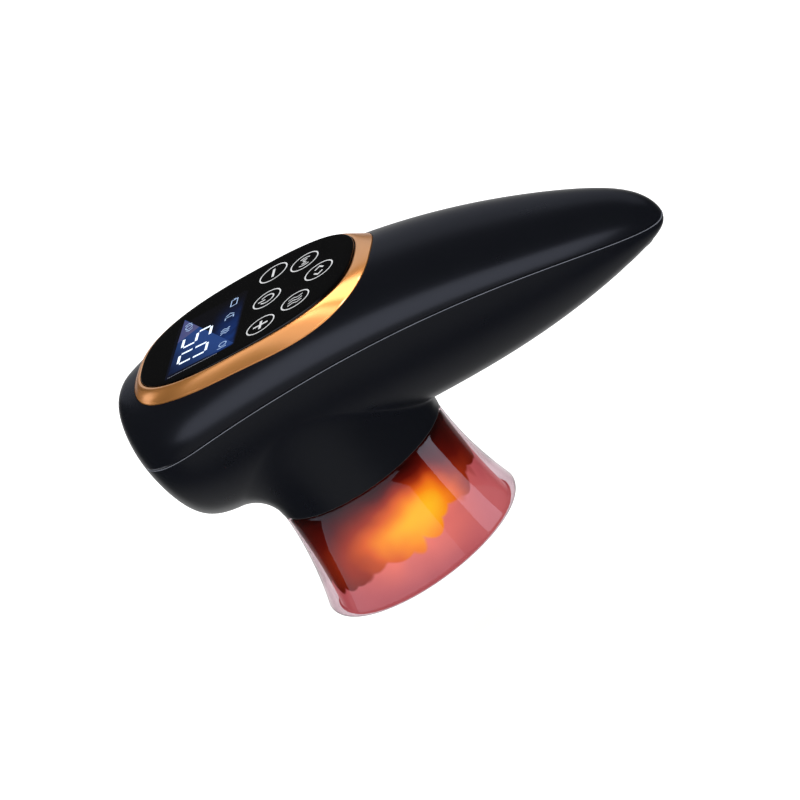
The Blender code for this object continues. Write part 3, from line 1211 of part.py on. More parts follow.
def make_air_path(looks, housing, pump_tip, valve_tip):
    x, y, z = TEE_AT
    low, high = z - TEE_HALF_HEIGHT, z + TEE_HALF_HEIGHT
    reach = BARB_LENGTH
    body = (
        (BARB_RADIUS, low - reach),
        (BARB_RADIUS, low),
        (TEE_RADIUS, low),
        (TEE_RADIUS, high),
        (BARB_RADIUS, high),
        (BARB_RADIUS, high + reach),
    )
    tee = turned("air_tee", body, looks["pale"], (x, y, 0), sides=16, parent=housing)
    side = y + TEE_RADIUS + reach
    join(tee, rod("tee_barb", BARB_RADIUS, y, side, looks["pale"], at=(x, z), axis="Y"))
    cut(tee, rod("tee_bore", BARB_BORE, low - reach - OVERRUN, high + reach + OVERRUN, looks["pale"], at=(x, y)))
    cut(tee, rod("tee_side_bore", BARB_BORE, y, side + OVERRUN, looks["pale"], at=(x, z), axis="Y"))
    bend = TUBE_OUTER * 1.5
    half = reach / 2
    port = -PORT_RADIUS - GAP
    foot = low - reach
    hose(
        "tube_cup",
        [
            (port, 0, BARB_HEIGHT),
            (port - half, 0, BARB_HEIGHT),
            (port - reach, 0, BARB_HEIGHT),
            (x + bend * 2, 0, BARB_HEIGHT),
            (x + bend, 0, BARB_HEIGHT),
            (x + bend * 0.2, 0, BARB_HEIGHT + bend * 0.35),
            (x, 0, foot - GAP),
            (x, 0, foot + half),
            (x, 0, low - GAP),
        ],
        looks["silicone"],
        housing,
    )
    cover = pump_tip + reach - GAP
    top = high + reach
    hose(
        "tube_pump",
        [
            (x, 0, high + GAP),
            (x, 0, high + half),
            (x, 0, top),
            (x + bend * 0.4, 0, PUMP_PORT_HEIGHT - bend * 0.6),
            (x + bend * 1.4, 0, PUMP_PORT_HEIGHT),
            (pump_tip, 0, PUMP_PORT_HEIGHT),
            (pump_tip + half, 0, PUMP_PORT_HEIGHT),
            (cover, 0, PUMP_PORT_HEIGHT),
        ],
        looks["silicone"],
        housing,
    )
    seat = valve_tip + reach - GAP
    start = y + TEE_RADIUS + GAP
    hose(
        "tube_valve",
        [
            (x, start, z),
            (x, start + half, z),
            (x, start + reach, z),
            (x + bend * 0.6, VALVE_SIDE - bend * 2, z + bend * 0.5),
            (x + bend * 3, VALVE_SIDE - bend * 0.3, VALVE_HEIGHT - bend * 0.5),
            (valve_tip - bend * 2, VALVE_SIDE, VALVE_HEIGHT),
            (valve_tip, VALVE_SIDE, VALVE_HEIGHT),
            (valve_tip + half, VALVE_SIDE, VALVE_HEIGHT),
            (seat, VALVE_SIDE, VALVE_HEIGHT),
        ],
        looks["silicone"],
        housing,
    )


# Power


def make_battery(looks, housing):
    at = (0, CELL_HEIGHT)
    end = CELL_FROM + CELL_LENGTH
    cell = (
        (CELL_RADIUS - CELL_ROUND, CELL_FROM),
        (CELL_RADIUS, CELL_FROM + CELL_ROUND),
        (CELL_RADIUS, end - CELL_ROUND),
        (CELL_RADIUS - CELL_ROUND, end),
        (CELL_BUTTON_RADIUS, end),
        (CELL_BUTTON_RADIUS, end + CELL_BUTTON),
    )
    turned("battery_cell", cell, looks["cell"], (0, *at), "X", sides=24, parent=housing)
    base_top = CRADLE_BASE_HEIGHT + CRADLE_BASE_THICKNESS
    half = CRADLE_BASE_HALF_WIDTH
    low = (CRADLE_END_FRONT, -half, CRADLE_BASE_HEIGHT)
    high = (CRADLE_END_REAR + CRADLE_END_THICKNESS, half, base_top)
    cradle = block("battery_cradle", low, high, looks["plastic"], parent=housing)
    wide, shoulder = CRADLE_END_HALF_WIDTH, CRADLE_BASE_HEIGHT + CRADLE_END_SHOULDER
    foot = CRADLE_BASE_HEIGHT + GAP
    outline = np.array(
        [(-half, foot), (half, foot), (wide, shoulder), (wide, CRADLE_END_HEIGHT), (-wide, CRADLE_END_HEIGHT),
         (-wide, shoulder)]
    )
    for i, x in enumerate((CRADLE_END_FRONT, CRADLE_END_REAR)):
        thick = CRADLE_END_THICKNESS - GAP
        end_wall = slab(f"cradle_end_{i}", outline, x + GAP / 2, x + thick, looks["plastic"], axis="X", origin=(x, 0, 0))
        join(cradle, end_wall)
    low, high = CRADLE_END_FRONT - OVERRUN, CRADLE_END_REAR + CRADLE_END_THICKNESS + OVERRUN
    cut(cradle, rod("cell_bore", CELL_RADIUS + GAP, low, high, looks["plastic"], at=at, axis="X", sides=24))
    slot = CELL_RADIUS + GAP
    low, high = (low, -slot, CELL_HEIGHT), (high, slot, CRADLE_END_HEIGHT - WALL)
    cut(cradle, block("cell_slot", low, high, looks["plastic"]))
    for i, x in enumerate(PEG_AT):
        low, high = CRADLE_BASE_HEIGHT - PEG_LENGTH, base_top - GAP
        join(cradle, rod(f"cradle_peg_{i}", PEG_RADIUS, low, high, looks["plastic"], at=(x, 0), sides=12))
    low = (CELL_PAD_FROM, -CELL_PAD_HALF_WIDTH, CELL_HEIGHT + CELL_RADIUS + GAP)
    high = (CELL_PAD_FROM + CELL_PAD_LENGTH, CELL_PAD_HALF_WIDTH, MAIN_BOARD_BOTTOM - GAP)
    block("battery_pad", low, high, looks["foam"], parent=housing)


def make_main_board(looks, housing):
    middle = MAIN_BOARD_FROM + MAIN_BOARD_LENGTH / 2
    outline = rounded(MAIN_BOARD_LENGTH / 2, MAIN_BOARD_HALF_WIDTH, MAIN_BOARD_CORNER, steps=2)
    board = slab(
        "main_board", outline, MAIN_BOARD_BOTTOM, MAIN_BOARD_TOP, looks["board"], centre=(middle, 0), parent=housing
    )
    for name, x, half, height in (
        ("control_chip", CHIP_AT, CHIP_HALF, CHIP_HEIGHT),
        ("plug_socket", PLUG_SOCKET_AT, PLUG_SOCKET_HALF, PLUG_SOCKET_HEIGHT),
    ):
        low = (x - half, -half, MAIN_BOARD_TOP - GAP)
        join(board, block(name, low, (x + half, half, MAIN_BOARD_TOP + height), looks["plastic"]))


def make_charging(looks, housing):
    centre = (PORT_BOX_FROM + PORT_BOX_LENGTH / 2, 0)
    corner = PORT_BOX_LENGTH / 2 - 2 * GAP
    outline = rounded(PORT_BOX_LENGTH / 2, PORT_BOX_HALF_WIDTH, corner)
    top = PORT_BOX_BOTTOM + PORT_BOX_HEIGHT
    port = slab("charging_port", outline, PORT_BOX_BOTTOM, top, looks["steel"], centre=centre, parent=housing)
    wall = PORT_MOUTH_WALL
    mouth = rounded(PORT_BOX_LENGTH / 2 - wall, PORT_BOX_HALF_WIDTH - wall, corner - wall)
    tongue = PORT_BOX_HALF_WIDTH - PORT_BOX_LENGTH / 2
    low, high = PORT_BOX_BOTTOM - OVERRUN, PORT_BOX_BOTTOM + PORT_MOUTH_DEPTH
    cut(port, slab("port_mouth", mouth, low, high, looks["steel"], centre=centre))
    low = (centre[0] - PORT_TONGUE_HALF, -tongue, PORT_BOX_BOTTOM + wall)
    join(port, block("port_tongue", low, (centre[0] + PORT_TONGUE_HALF, tongue, high + GAP), looks["steel"]))
    start = PORT_BOX_FROM + PORT_BOX_LENGTH + GAP
    low = (start, -CHARGE_BOARD_HALF_WIDTH, CHARGE_BOARD_BOTTOM)
    high = (start + BOARD_THICKNESS * 0.8, CHARGE_BOARD_HALF_WIDTH, CHARGE_BOARD_BOTTOM + CHARGE_BOARD_HEIGHT)
    block("charging_board", low, high, looks["board"], parent=housing)


def make_wiring(looks, housing):
    over = MAIN_BOARD_TOP + WIRE_RADIUS + GAP
    face = CELL_FROM + CELL_LENGTH + GAP + WIRE_RADIUS
    cell_top = CELL_HEIGHT + CELL_RADIUS
    side = CELL_RADIUS * 0.45
    flank = CELL_RADIUS * 0.72
    shoulder = CELL_HEIGHT + flank + 3 * WIRE_RADIUS
    back = MAIN_BOARD_FROM + MAIN_BOARD_LENGTH
    wire(
        "battery_lead_red",
        [
            (face, flank, CELL_HEIGHT + WIRE_RADIUS),
            (face, flank, shoulder - 4 * WIRE_RADIUS),
            (face - 2 * WIRE_RADIUS, flank, shoulder),
            ((face + back) / 2, flank, (shoulder + over) / 2),
            (back, flank, over),
            (back - CELL_RADIUS * 0.6, flank, over),
        ],
        looks["red"],
        housing,
    )
    start = CELL_FROM - GAP - WIRE_RADIUS
    wire(
        "battery_lead_black",
        [
            (start, -side, CELL_HEIGHT + side),
            (start, -side, cell_top + WIRE_RADIUS),
            (start + CELL_RADIUS * 0.3, -side, over),
            (MAIN_BOARD_FROM, -side, over + WIRE_RADIUS),
            (MAIN_BOARD_FROM + CELL_RADIUS * 0.5, -side, over),
        ],
        looks["black"],
        housing,
    )
    motor_end = MOTOR_LENGTH + GAP + MOTOR_CAP + GAP + WIRE_RADIUS
    lead = MOTOR_RADIUS * 0.6
    wire(
        "motor_lead",
        [
            (motor_end, lead, MOTOR_HEIGHT + WIRE_RADIUS),
            (motor_end + WIRE_RADIUS, lead, MOTOR_HEIGHT + 5 * WIRE_RADIUS),
            ((motor_end + MAIN_BOARD_FROM) / 2, lead, over + 4 * WIRE_RADIUS),
            (MAIN_BOARD_FROM, lead, over + WIRE_RADIUS),
            (MAIN_BOARD_FROM + CELL_RADIUS * 0.5, lead, over),
        ],
        looks["red"],
        housing,
    )


def make_ribbon(looks, housing):
    """Flat cable from the display board down to the main board."""
    top = KEY_BOARD_BOTTOM - GAP - RIBBON_THICKNESS
    low = MAIN_BOARD_TOP + GAP
    drop = top - low
    start = BOARD_HALF_LENGTH * 0.72
    over = MAIN_BOARD_FROM + MAIN_BOARD_LENGTH * 0.22
    span = over - start
    route = smooth_route(
        [
            (start, 0, top),
            (start + span * 0.25, 0, top - drop * 0.05),
            (start + span * 0.48, 0, top - drop * 0.32),
            (start + span * 0.62, 0, low + drop * 0.3),
            (start + span * 0.78, 0, low + drop * 0.06),
            (over, 0, low),
        ],
        WIRE_STEP,
    )
    along = np.gradient(route, axis=0)
    up = np.stack((-along[:, 2], np.zeros(len(along)), along[:, 0]), -1)
    up /= np.linalg.norm(up, axis=1)[:, None]
    left = np.array((0, RIBBON_HALF_WIDTH, 0))
    middle = np.array((0, RIBBON_SIDE, 0))
    rows = []
    for point, rise in zip(route + middle, up):
        thick = rise * RIBBON_THICKNESS
        rows.append((point - left, point + left, point + left + thick, point - left + thick))
    lofted("display_ribbon", rows, looks["pale"], origin=tuple(route[0] + middle), parent=housing)


def main():
    clear_scene()
    looks = make_finishes()
    housing = empty("housing", 0, 0, SEAM_HEIGHT)
    cup_axis = empty("cup_axis", 0, 0, NECK_EDGE)
    pump_axis = empty("pump_axis", 0, 0, MOTOR_HEIGHT)
    valve_axis = empty("valve_axis", VALVE_FROM + VALVE_LENGTH, VALVE_SIDE, VALVE_HEIGHT)
    make_top_shell(looks, housing)
    make_bottom_shell(looks, housing)
    make_ring(looks, housing)
    make_panel(looks, housing)
    make_shell_screws(looks, housing)
    make_display(looks, housing)
    make_cup(looks, cup_axis)
    make_socket(looks, housing)
    make_light(looks, housing)
    make_port(looks, housing)
    make_bracket(looks, housing)
    make_motor(looks, housing, pump_axis)
    pump_tip = make_pump(looks, housing)
    valve_tip = make_valve(looks, housing, valve_axis)
    make_air_path(looks, housing, pump_tip, valve_tip)
    make_battery(looks, housing)
    make_main_board(looks, housing)
    make_charging(looks, housing)
    make_wiring(looks, housing)
    make_ribbon(looks, housing)


main()
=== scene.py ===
import math
from functools import cache, reduce

import bpy
import numpy as np
from bpy.props import FloatProperty, FloatVectorProperty, IntProperty, PointerProperty
from bpy.types import Operator, Panel, PropertyGroup
from mathutils import Matrix, Vector


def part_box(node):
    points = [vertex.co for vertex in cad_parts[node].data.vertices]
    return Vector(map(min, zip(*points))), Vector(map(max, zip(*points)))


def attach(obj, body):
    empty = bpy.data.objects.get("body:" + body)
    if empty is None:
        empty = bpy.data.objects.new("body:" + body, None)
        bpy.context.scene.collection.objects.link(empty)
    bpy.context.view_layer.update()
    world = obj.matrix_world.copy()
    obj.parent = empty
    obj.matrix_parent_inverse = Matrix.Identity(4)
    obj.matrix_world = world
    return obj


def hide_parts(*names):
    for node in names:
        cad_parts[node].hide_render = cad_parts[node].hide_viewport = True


bl_info = {
    "name": "Electric cupping massager",
    "version": (1, 0, 0),
    "blender": (4, 5, 0),
    "location": "3D View > Sidebar > Massager",
    "description": "Builds the looks of a wireless glass-cup massager around its packed frame",
    "category": "Object",
}

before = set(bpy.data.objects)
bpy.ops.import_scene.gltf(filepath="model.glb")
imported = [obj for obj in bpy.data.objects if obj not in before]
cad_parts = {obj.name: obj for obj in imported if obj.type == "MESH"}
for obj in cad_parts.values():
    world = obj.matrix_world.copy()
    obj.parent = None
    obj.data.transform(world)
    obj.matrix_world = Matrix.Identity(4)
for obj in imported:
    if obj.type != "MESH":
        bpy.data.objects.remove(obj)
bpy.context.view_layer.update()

# The frame gives the cup's axis and the levels that the pieces stand on. Every x below is measured from that axis.
CUP_LOW, CUP_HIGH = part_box("cup")
SHELL_LOW, SHELL_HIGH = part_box("bottom_shell")
PANEL_BOTTOM, PANEL_TOP = (corner.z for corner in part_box("touch_panel"))
AXIS_X = (CUP_LOW.x + CUP_HIGH.x) / 2
NECK_EDGE = SHELL_LOW.z
LENGTH = SHELL_HIGH.x - SHELL_LOW.x
NOSE_REACH = AXIS_X - SHELL_LOW.x
TIP_REACH = LENGTH - NOSE_REACH

# Outline, parting line, crown and keel
BODY_HALF_WIDTH = 0.0406
WIDEST_AT = -0.0255
HEAD_POWER = 2.3
TAPER_POWER = 1.15
TAPER_ROUND = 0.43
SEAM_HEIGHT = 0.0793
SEAM_DROP_TIP = 0.0231
SEAM_DROP_NOSE = 0.004
SEAM_TIP_POWER = 2.2
SEAM_NOSE_POWER = 2.0
CROWN_HEIGHT = 0.0174
CROWN_NOSE_ROUND = 0.0063
CROWN_NOSE_POWER = 3.6
CROWN_TIP_SHARE = -1.11
CROWN_TIP_POWER = 11.7
CROWN_SIDE_POWER = 2.24
KEEL_DEPTH = 0.0362
KEEL_DEEPEST_AT = 0.019
KEEL_NOSE_POWER = 6.4
KEEL_TIP_SHARE = 0.468
KEEL_TIP_POWER = 3.1
KEEL_SIDE_POWER = 1.7

# Shells, neck and seats
WALL = 0.0022
GAP = 0.0003
NECK_RADIUS = 0.0291
NECK_BLEND_FRONT = 0.009
NECK_BLEND_REAR = 0.003
NECK_BLEND_MOST_SHARE = 0.75
NECK_LIFT_SHARE = 0.45
LINING_COLUMNS = 44
LINING_ROWS = 6
LINING_BLEND_ROWS = 4
FINE_PER_COLUMN = 5
FINE_ROWS = 30
FINE_BLEND_ROWS = 18
RIM_STEPS = 4
SHELL_SHARP = 32  # degrees
CUT_REACH = 0.002  # how far a tool cuts past the wall
PANEL_NOSE_REACH = 0.0394
PANEL_HANDLE_REACH = 0.0367
PANEL_HALF_WIDTH = 0.0282
PANEL_NOSE_POWER = 2.6
PANEL_HANDLE_POWER = 2.65
RING_NOSE_POWER = 3.05
RING_HANDLE_POWER = 2.75
PANEL_LOWER = 0.0003
PANEL_TILT = -0.02
PANEL_EDGE = 0.00035
RING_WIDTH_NOSE = 0.0032
RING_WIDTH_HANDLE = 0.0055
RING_WIDTH_SIDES = 0.003
RING_SEAT_DEPTH = 0.0013
RING_PROUD = 0.0003
RING_BELOW_PANEL = 0.0004
RING_GAP = GAP * 0.6
RING_HANDLE_BULGE = 1.15
RING_HANDLE_DROP = 0.0005
RING_ROWS = 21
FLOOR_TOP = PANEL_BOTTOM - GAP
FLOOR_BOTTOM = FLOOR_TOP - 0.0024
FLOOR_OUTLINE_SHARE = 0.9
COLLAR_RADIUS = 0.026
COLLAR_WALL = 0.002
COLLAR_INSET = 0.002
LEDGE_BOTTOM = 0.0495
LEDGE_TOP = 0.052
LEDGE_WIDTH = 0.0044
NECK_BOSS_TOP = 0.0572
NECK_BOSS_RADIUS = 0.0034
NECK_SCREW_CIRCLE = 0.0193
SMALL_BORE = 0.0011
SHELL_BORE = 0.0015
SHELL_BOSS_RADIUS = 0.0032
SHELL_WELL_RADIUS = 0.0027
SHELL_WELL_WALL = 0.0012
SHELL_SCREWS = ((0.0343, 0.06), (0.1132, 0.0588))
SHELL_SEAT = 0.005
SHELL_GRIP = 0.0058
PEGS = (0.0555, 0.0795)
PEG_BOSS_RADIUS = 0.0032
PEG_BORE = 0.0016
CRADLE_BASE = 0.05
PEG_DEPTH = 0.0031
SLOT_FROM = 0.1043
SLOT_LENGTH = 0.0032
SLOT_HALF_WIDTH = 0.00475
SLOT_TOP = 0.053
SLOT_CUT_FROM = 0.045
LCD_MIDDLE = -0.01525
LCD_HALF_LENGTH = 0.01335
LCD_HALF_WIDTH = 0.0188
KEY_PLACES = ((0.0065, -0.0177), (0.0065, 0.0), (0.0065, 0.0177), (0.0185, -0.0131), (0.0185, 0.0131), (0.0254, 0.0))
KEY_OPENING = 0.004
BOARD_SCREWS = ((-0.014, 0.0207), (-0.014, -0.0207), (0.0246, 0.0155), (0.0246, -0.0155))

# Cup
CUP_RIM_RADIUS = 0.0341
CUP_SHOULDER_RADIUS = 0.0289
CUP_LIP_ROUND = 0.0026
CUP_LIP_FLAT = 0.0008
CUP_LIP_INNER_ROUND = 0.0008
CUP_WALL = 0.0014
CUP_FLARE_POWER = 1.9
CUP_SHOULDER_ROUND = 0.0006
CUP_THROAT_ROUND = 0.0025
SPIGOT_RADIUS = 0.0242
SPIGOT_CHAMFER = 0.0004

# Lamp window and plugs
LENS_RADIUS = 0.0173
LENS_WALL = 0.0013
LENS_HOLE = 0.0032
LENS_CORNER = 0.0007
LENS_EDGE_LIFT = LENS_WALL * 0.55
LENS_RIBBED_SHARE = 0.98
LENS_RIBS = 9
LENS_RIB_SWING = 0.00022
PLUG_RADIUS = 0.0024
PLUG_ROUND = 0.0003
PLUG_DIMPLE = ((0.0009, 0.00025), (0.0011, 0.00005))  # radii, and heights over the plug's face

# Marks on the panel: how far they sink into it and stand proud, and their sizes
MARK_SUNK = 0.00006
MARK_LAYER = 0.000012
PRINT_PROUD = 0.00003
PRINT_AHEAD = 0.0003
PRINT_DRIFT = (0.012, 0.02)
KEY_CIRCLE = 0.00485
KEY_POWER_ARC = 0.0024
KEY_PULL_ARCS = (0.0013, 0.0026)
KEY_PULL_DOT = 0.0005
DIGIT_STROKE = 0.00095
SIGN_STROKE = 0.0003
LINE_STROKE = 0.00022

# Photograph's camera: its aim and directions were fitted to the object's outline
CAMERA_AZIMUTH = math.radians(20.342)
CAMERA_ELEVATION = math.radians(18.956)
CAMERA_ROLL = math.radians(36.27)
CAMERA_SENSOR = 36.0  # millimetres
CAMERA_DISTANCE = 2.9092
CAMERA_VIEW_WIDTH = 0.2409
CAMERA_TARGET = (0.04, 0.0, 0.055)
CAMERA_OFFSET = (0.01008, 0.01574)

# Studio: the floor lies under the rim of the cup when it is pulled right out. Each gloss light has its direction round
# the axis in degrees, distance, height, height of its aim, size, power, colour and the piece that it shines on.
STUDIO_FLOOR = -0.031
STUDIO_HALF = 9.0
COOL, WARM = (0.76, 0.81, 1.0), (1.0, 0.95, 0.9)
FRONT_PIECES = ("crown_shell", "keel_shell", "gold_ring", "panel_glass_plate")
GLOSS_LIGHTS = {
    "cup_softbox": (-109, 0.9, 0.22, 0.22, (4.2, 1.3), 14, COOL, "cup_bell"),
    "side_softbox": (5, 1.0, 0.1, 0.1, (0.5, 1.2), 4.2, COOL, "cup_bell"),
    "ring_spark": (-57, 0.62, 0.84, 0.06, (0.4, 0.3), 1.2, WARM, "gold_ring"),
    "ring_top": (32, 0.33, 0.99, 0.06, (0.9, 0.55), 6.9, WARM, "gold_ring"),
    "back_softbox": (98, 0.84, 0.5, 0.06, (0.7, 0.36), 0.6, (0.85, 0.95, 1.0), "gold_ring"),
    "nose_softbox": (160, 0.88, 0.48, 0.06, (0.3, 0.3), 0.45, WARM, "gold_ring"),
    "crown_softbox": (90, 0.9, 0.42, 0.06, (1.4, 0.4), 0.34, COOL, "crown_shell"),
}
# Soft pale patches of the room that only the gloss sees: direction, limits of the cosine, strength outside and inside
ROOM_PATCHES = (
    ((-0.32, 0.89, -0.33), 0.84, 0.98, 0.02, 0.6),
    ((-0.24, -0.9, -0.36), 0.7, 1.0, 0.0, 0.16),
    ((-0.3, 0.36, -0.88), 0.75, 1.0, 0.0, 0.16),
)


# Sizes and colours


class ShellLook(PropertyGroup):
    edge_round: FloatProperty(
        name="Edge rounding", description="Radius of the shells' edges along the parting line", default=0.00025,
        min=0.00005, unit="LENGTH", precision=5,
    )
    colour: FloatVectorProperty(
        name="Shell colour", description="Colour of the satin shells", default=(0.003, 0.0038, 0.0068), subtype="COLOR"
    )
    roughness: FloatProperty(
        name="Shell roughness", description="Roughness of satin shells", default=0.29, min=0, max=1, subtype="FACTOR"
    )


class RingLook(PropertyGroup):
    bulge: FloatProperty(
        name="Bulge", description="Power that rounds the band from its edge to its lip", default=1.55, min=1, max=3
    )
    lip: FloatProperty(
        name="Lip", description="Width of the flat lip beside the panel", default=0.0007, unit="LENGTH", precision=5
    )
    edge_round: FloatProperty(
        name="Edge rounding", description="Radius of the ring's edges", default=0.00022, unit="LENGTH", precision=5
    )
    colour: FloatVectorProperty(
        name="Ring colour", description="Colour of the copper-gold ring", default=(0.8, 0.31, 0.07), subtype="COLOR"
    )


class DisplayLook(PropertyGroup):
    mark_width: FloatProperty(
        name="Mark width", description="Stroke width of the printed keys", default=0.00046, unit="LENGTH", precision=5
    )
    mark_colour: FloatVectorProperty(
        name="Mark colour", description="Colour of the printed keys", default=(0.66, 0.67, 0.68), subtype="COLOR"
    )
    digits: IntProperty(name="Number shown", description="Two digits on the display", default=5, min=0, max=99)
    digit_colour: FloatVectorProperty(
        name="Digit colour", description="Colour of the lit digits", default=(0.72, 0.82, 0.95), subtype="COLOR"
    )
    field_colour: FloatVectorProperty(
        name="Field colour", description="Colour of the display's light", default=(0.006, 0.035, 0.18), subtype="COLOR"
    )


class CupLook(PropertyGroup):
    sides: IntProperty(name="Sides", description="Steps round the cup", default=192, min=48)
    # The glow is the lamps' light painted into the cup glass's inner face; the core is its brightest place.
    glow: FloatProperty(
        name="Glow", description="Strength of the red light that the glass carries", default=1.3, min=0, soft_max=4
    )
    core_turn: FloatProperty(
        name="Core direction", description="Way to the brightest place", default=math.radians(-60), subtype="ANGLE"
    )
    core_height: FloatProperty(
        name="Core height", description="Height of the brightest place", default=0.0205, unit="LENGTH", precision=4
    )


class StageLook(PropertyGroup):
    floor_colour: FloatVectorProperty(
        name="Floor colour", description="Colour of the pale floor", default=(0.9, 0.9, 0.9), subtype="COLOR"
    )
    key_power: FloatProperty(
        name="Overhead light", description="Power of the large light overhead", default=8.0, unit="POWER"
    )
    front_power: FloatProperty(
        name="Front light", description="Power of the long softbox in front", default=6.6, unit="POWER"
    )


# Shape of the body


def half_width(x):
    """Half width of the outline: a superellipse ahead of the widest place, a longer drawn-out one behind it."""
    head = np.clip((WIDEST_AT - x) / (WIDEST_AT + NOSE_REACH), 0, 1)
    tail = np.clip((x - WIDEST_AT) / (TIP_REACH - WIDEST_AT), 0, 1)
    front = (1 - head**HEAD_POWER) ** (1 / HEAD_POWER)
    rear = (1 - tail**TAPER_POWER) ** TAPER_ROUND
    return BODY_HALF_WIDTH * np.where(x < WIDEST_AT, front, rear)


def seam_height(x):
    """Height of the parting line: its highest level less a power curve to the tip and one to the nose."""
    tip = np.clip(x / TIP_REACH, 0, 1)
    nose = np.clip(-x / NOSE_REACH, 0, 1)
    return SEAM_HEIGHT - SEAM_DROP_TIP * tip**SEAM_TIP_POWER - SEAM_DROP_NOSE * nose**SEAM_NOSE_POWER


def long_profile(x, highest_at, size, nose_power, tip_share, tip_power):
    """Height along the middle: a superellipse towards the nose, an ellipse drawn in by a share towards the tip."""
    nose = np.clip((highest_at - x) / (highest_at + NOSE_REACH), 0, 1)
    tip = np.clip((x - highest_at) / (TIP_REACH - highest_at), 0, 1)
    front = (1 - nose**nose_power) ** (1 / nose_power)
    rear = np.sqrt(1 - tip**2) * (1 - tip_share * tip**tip_power)
    return size * np.where(x < highest_at, front, rear)


def across(x, y, power):
    """Share of the middle height that is left at y: a superellipse over the half width."""
    share = np.clip(np.abs(y) / np.maximum(half_width(x), GAP / 100), 0, 1)
    return (1 - share**power) ** (1 / power)


def crown_surface(x, y):
    """Parting line plus the long profile times the superellipse across."""
    highest_at = CROWN_NOSE_ROUND - NOSE_REACH
    rise = long_profile(x, highest_at, CROWN_HEIGHT, CROWN_NOSE_POWER, CROWN_TIP_SHARE, CROWN_TIP_POWER)
    return seam_height(x) + rise * across(x, y, CROWN_SIDE_POWER)


def keel_surface(x, y):
    """Parting line less the long profile times the superellipse across."""
    drop = long_profile(x, KEEL_DEEPEST_AT, KEEL_DEPTH, KEEL_NOSE_POWER, KEEL_TIP_SHARE, KEEL_TIP_POWER)
    return seam_height(x) - drop * across(x, y, KEEL_SIDE_POWER)


def level(surface, x, y=0.0):
    """Height of a surface at one place."""
    return float(surface(np.array(x), np.array(y)))


def quarter(steps):
    """Sine and cosine of even steps through a quarter turn."""
    return [(math.sin(a), math.cos(a)) for a in np.linspace(0, math.pi / 2, steps + 1)]


def outline_columns(count):
    """Plan points of the outline from the tip round by +Y, closer at both ends: their distance and direction."""
    turn = np.linspace(0, math.pi, 2001)
    x = (TIP_REACH - NOSE_REACH) / 2 + LENGTH / 2 * np.cos(turn)
    y = half_width(x)
    run = np.concatenate(([0], np.cumsum(np.hypot(np.diff(x), np.diff(y)))))
    t = np.linspace(0, 1, count // 2 + 1)
    places = run[-1] * (t - 0.5 * np.sin(2 * math.pi * t) / (2 * math.pi))
    x, y = np.interp(places, run, x), np.interp(places, run, y)
    y[0] = y[-1] = 0
    x, y = np.concatenate((x, x[-2:0:-1])), np.concatenate((y, -y[-2:0:-1]))
    return np.hypot(x, y), np.arctan2(y, x)


def oval(nose, handle, half_y, angle):
    """Distance from the axis along each direction to two half superellipses, each given as its reach and power."""
    half_x, power = np.where(np.cos(angle) < 0, *np.array((nose, handle))[..., None])
    return (np.abs(np.cos(angle) / half_x) ** power + np.abs(np.sin(angle) / half_y) ** power) ** (-1 / power)


def panel_level(x):
    """Height of the panel's face, which falls a little towards the handle."""
    return PANEL_TOP - PANEL_LOWER + PANEL_TILT * x


def on_panel(solid):
    """A solid drawn level at the panel's top, moved onto its sloping face."""
    points, faces = solid
    points = np.asarray(points, float).copy()
    points[:, 2] += panel_level(points[:, 0]) - PANEL_TOP
    return points, faces


def ring_reach(angle, grow=0.0):
    """Distance to the edge of the ring: the oval of the panel widened by the band and a growth."""
    nose = PANEL_NOSE_REACH + RING_WIDTH_NOSE + grow, RING_NOSE_POWER
    handle = PANEL_HANDLE_REACH + RING_WIDTH_HANDLE + grow, RING_HANDLE_POWER
    return oval(nose, handle, PANEL_HALF_WIDTH + RING_WIDTH_SIDES + grow, angle)


def panel_reach(angle, grow=0.0):
    """Distance to the edge of the panel, plus a growth."""
    nose, handle = (PANEL_NOSE_REACH + grow, PANEL_NOSE_POWER), (PANEL_HANDLE_REACH + grow, PANEL_HANDLE_POWER)
    return oval(nose, handle, PANEL_HALF_WIDTH + grow, angle)


def ray_row(reach, angle, height):
    """One row of points at a distance along each column's ray, at a height or on a surface."""
    reach = np.broadcast_to(reach, angle.shape)
    x, y = reach * np.cos(angle), reach * np.sin(angle)
    return np.stack((x, y, height(x, y) if callable(height) else np.broadcast_to(height, x.shape)), -1)


def ring_seat(reach, angle):
    """Height of the seat under the ring: straight from the crown, less the seat's depth, to the panel's floor."""
    outer, floor = ring_reach(angle), FLOOR_OUTLINE_SHARE * panel_reach(angle)
    start = crown_surface(outer * np.cos(angle), outer * np.sin(angle)) - RING_SEAT_DEPTH
    return start + (outer - reach) / (outer - floor) * (FLOOR_TOP - start)


def surface_rows(outer, inner, angle, height, count):
    """Rows from the outline inwards, at the squares of even shares, so they crowd where the surface is steep."""
    return np.array([ray_row(outer + (inner - outer) * t * t, angle, height) for t in np.linspace(0, 1, count + 1)])


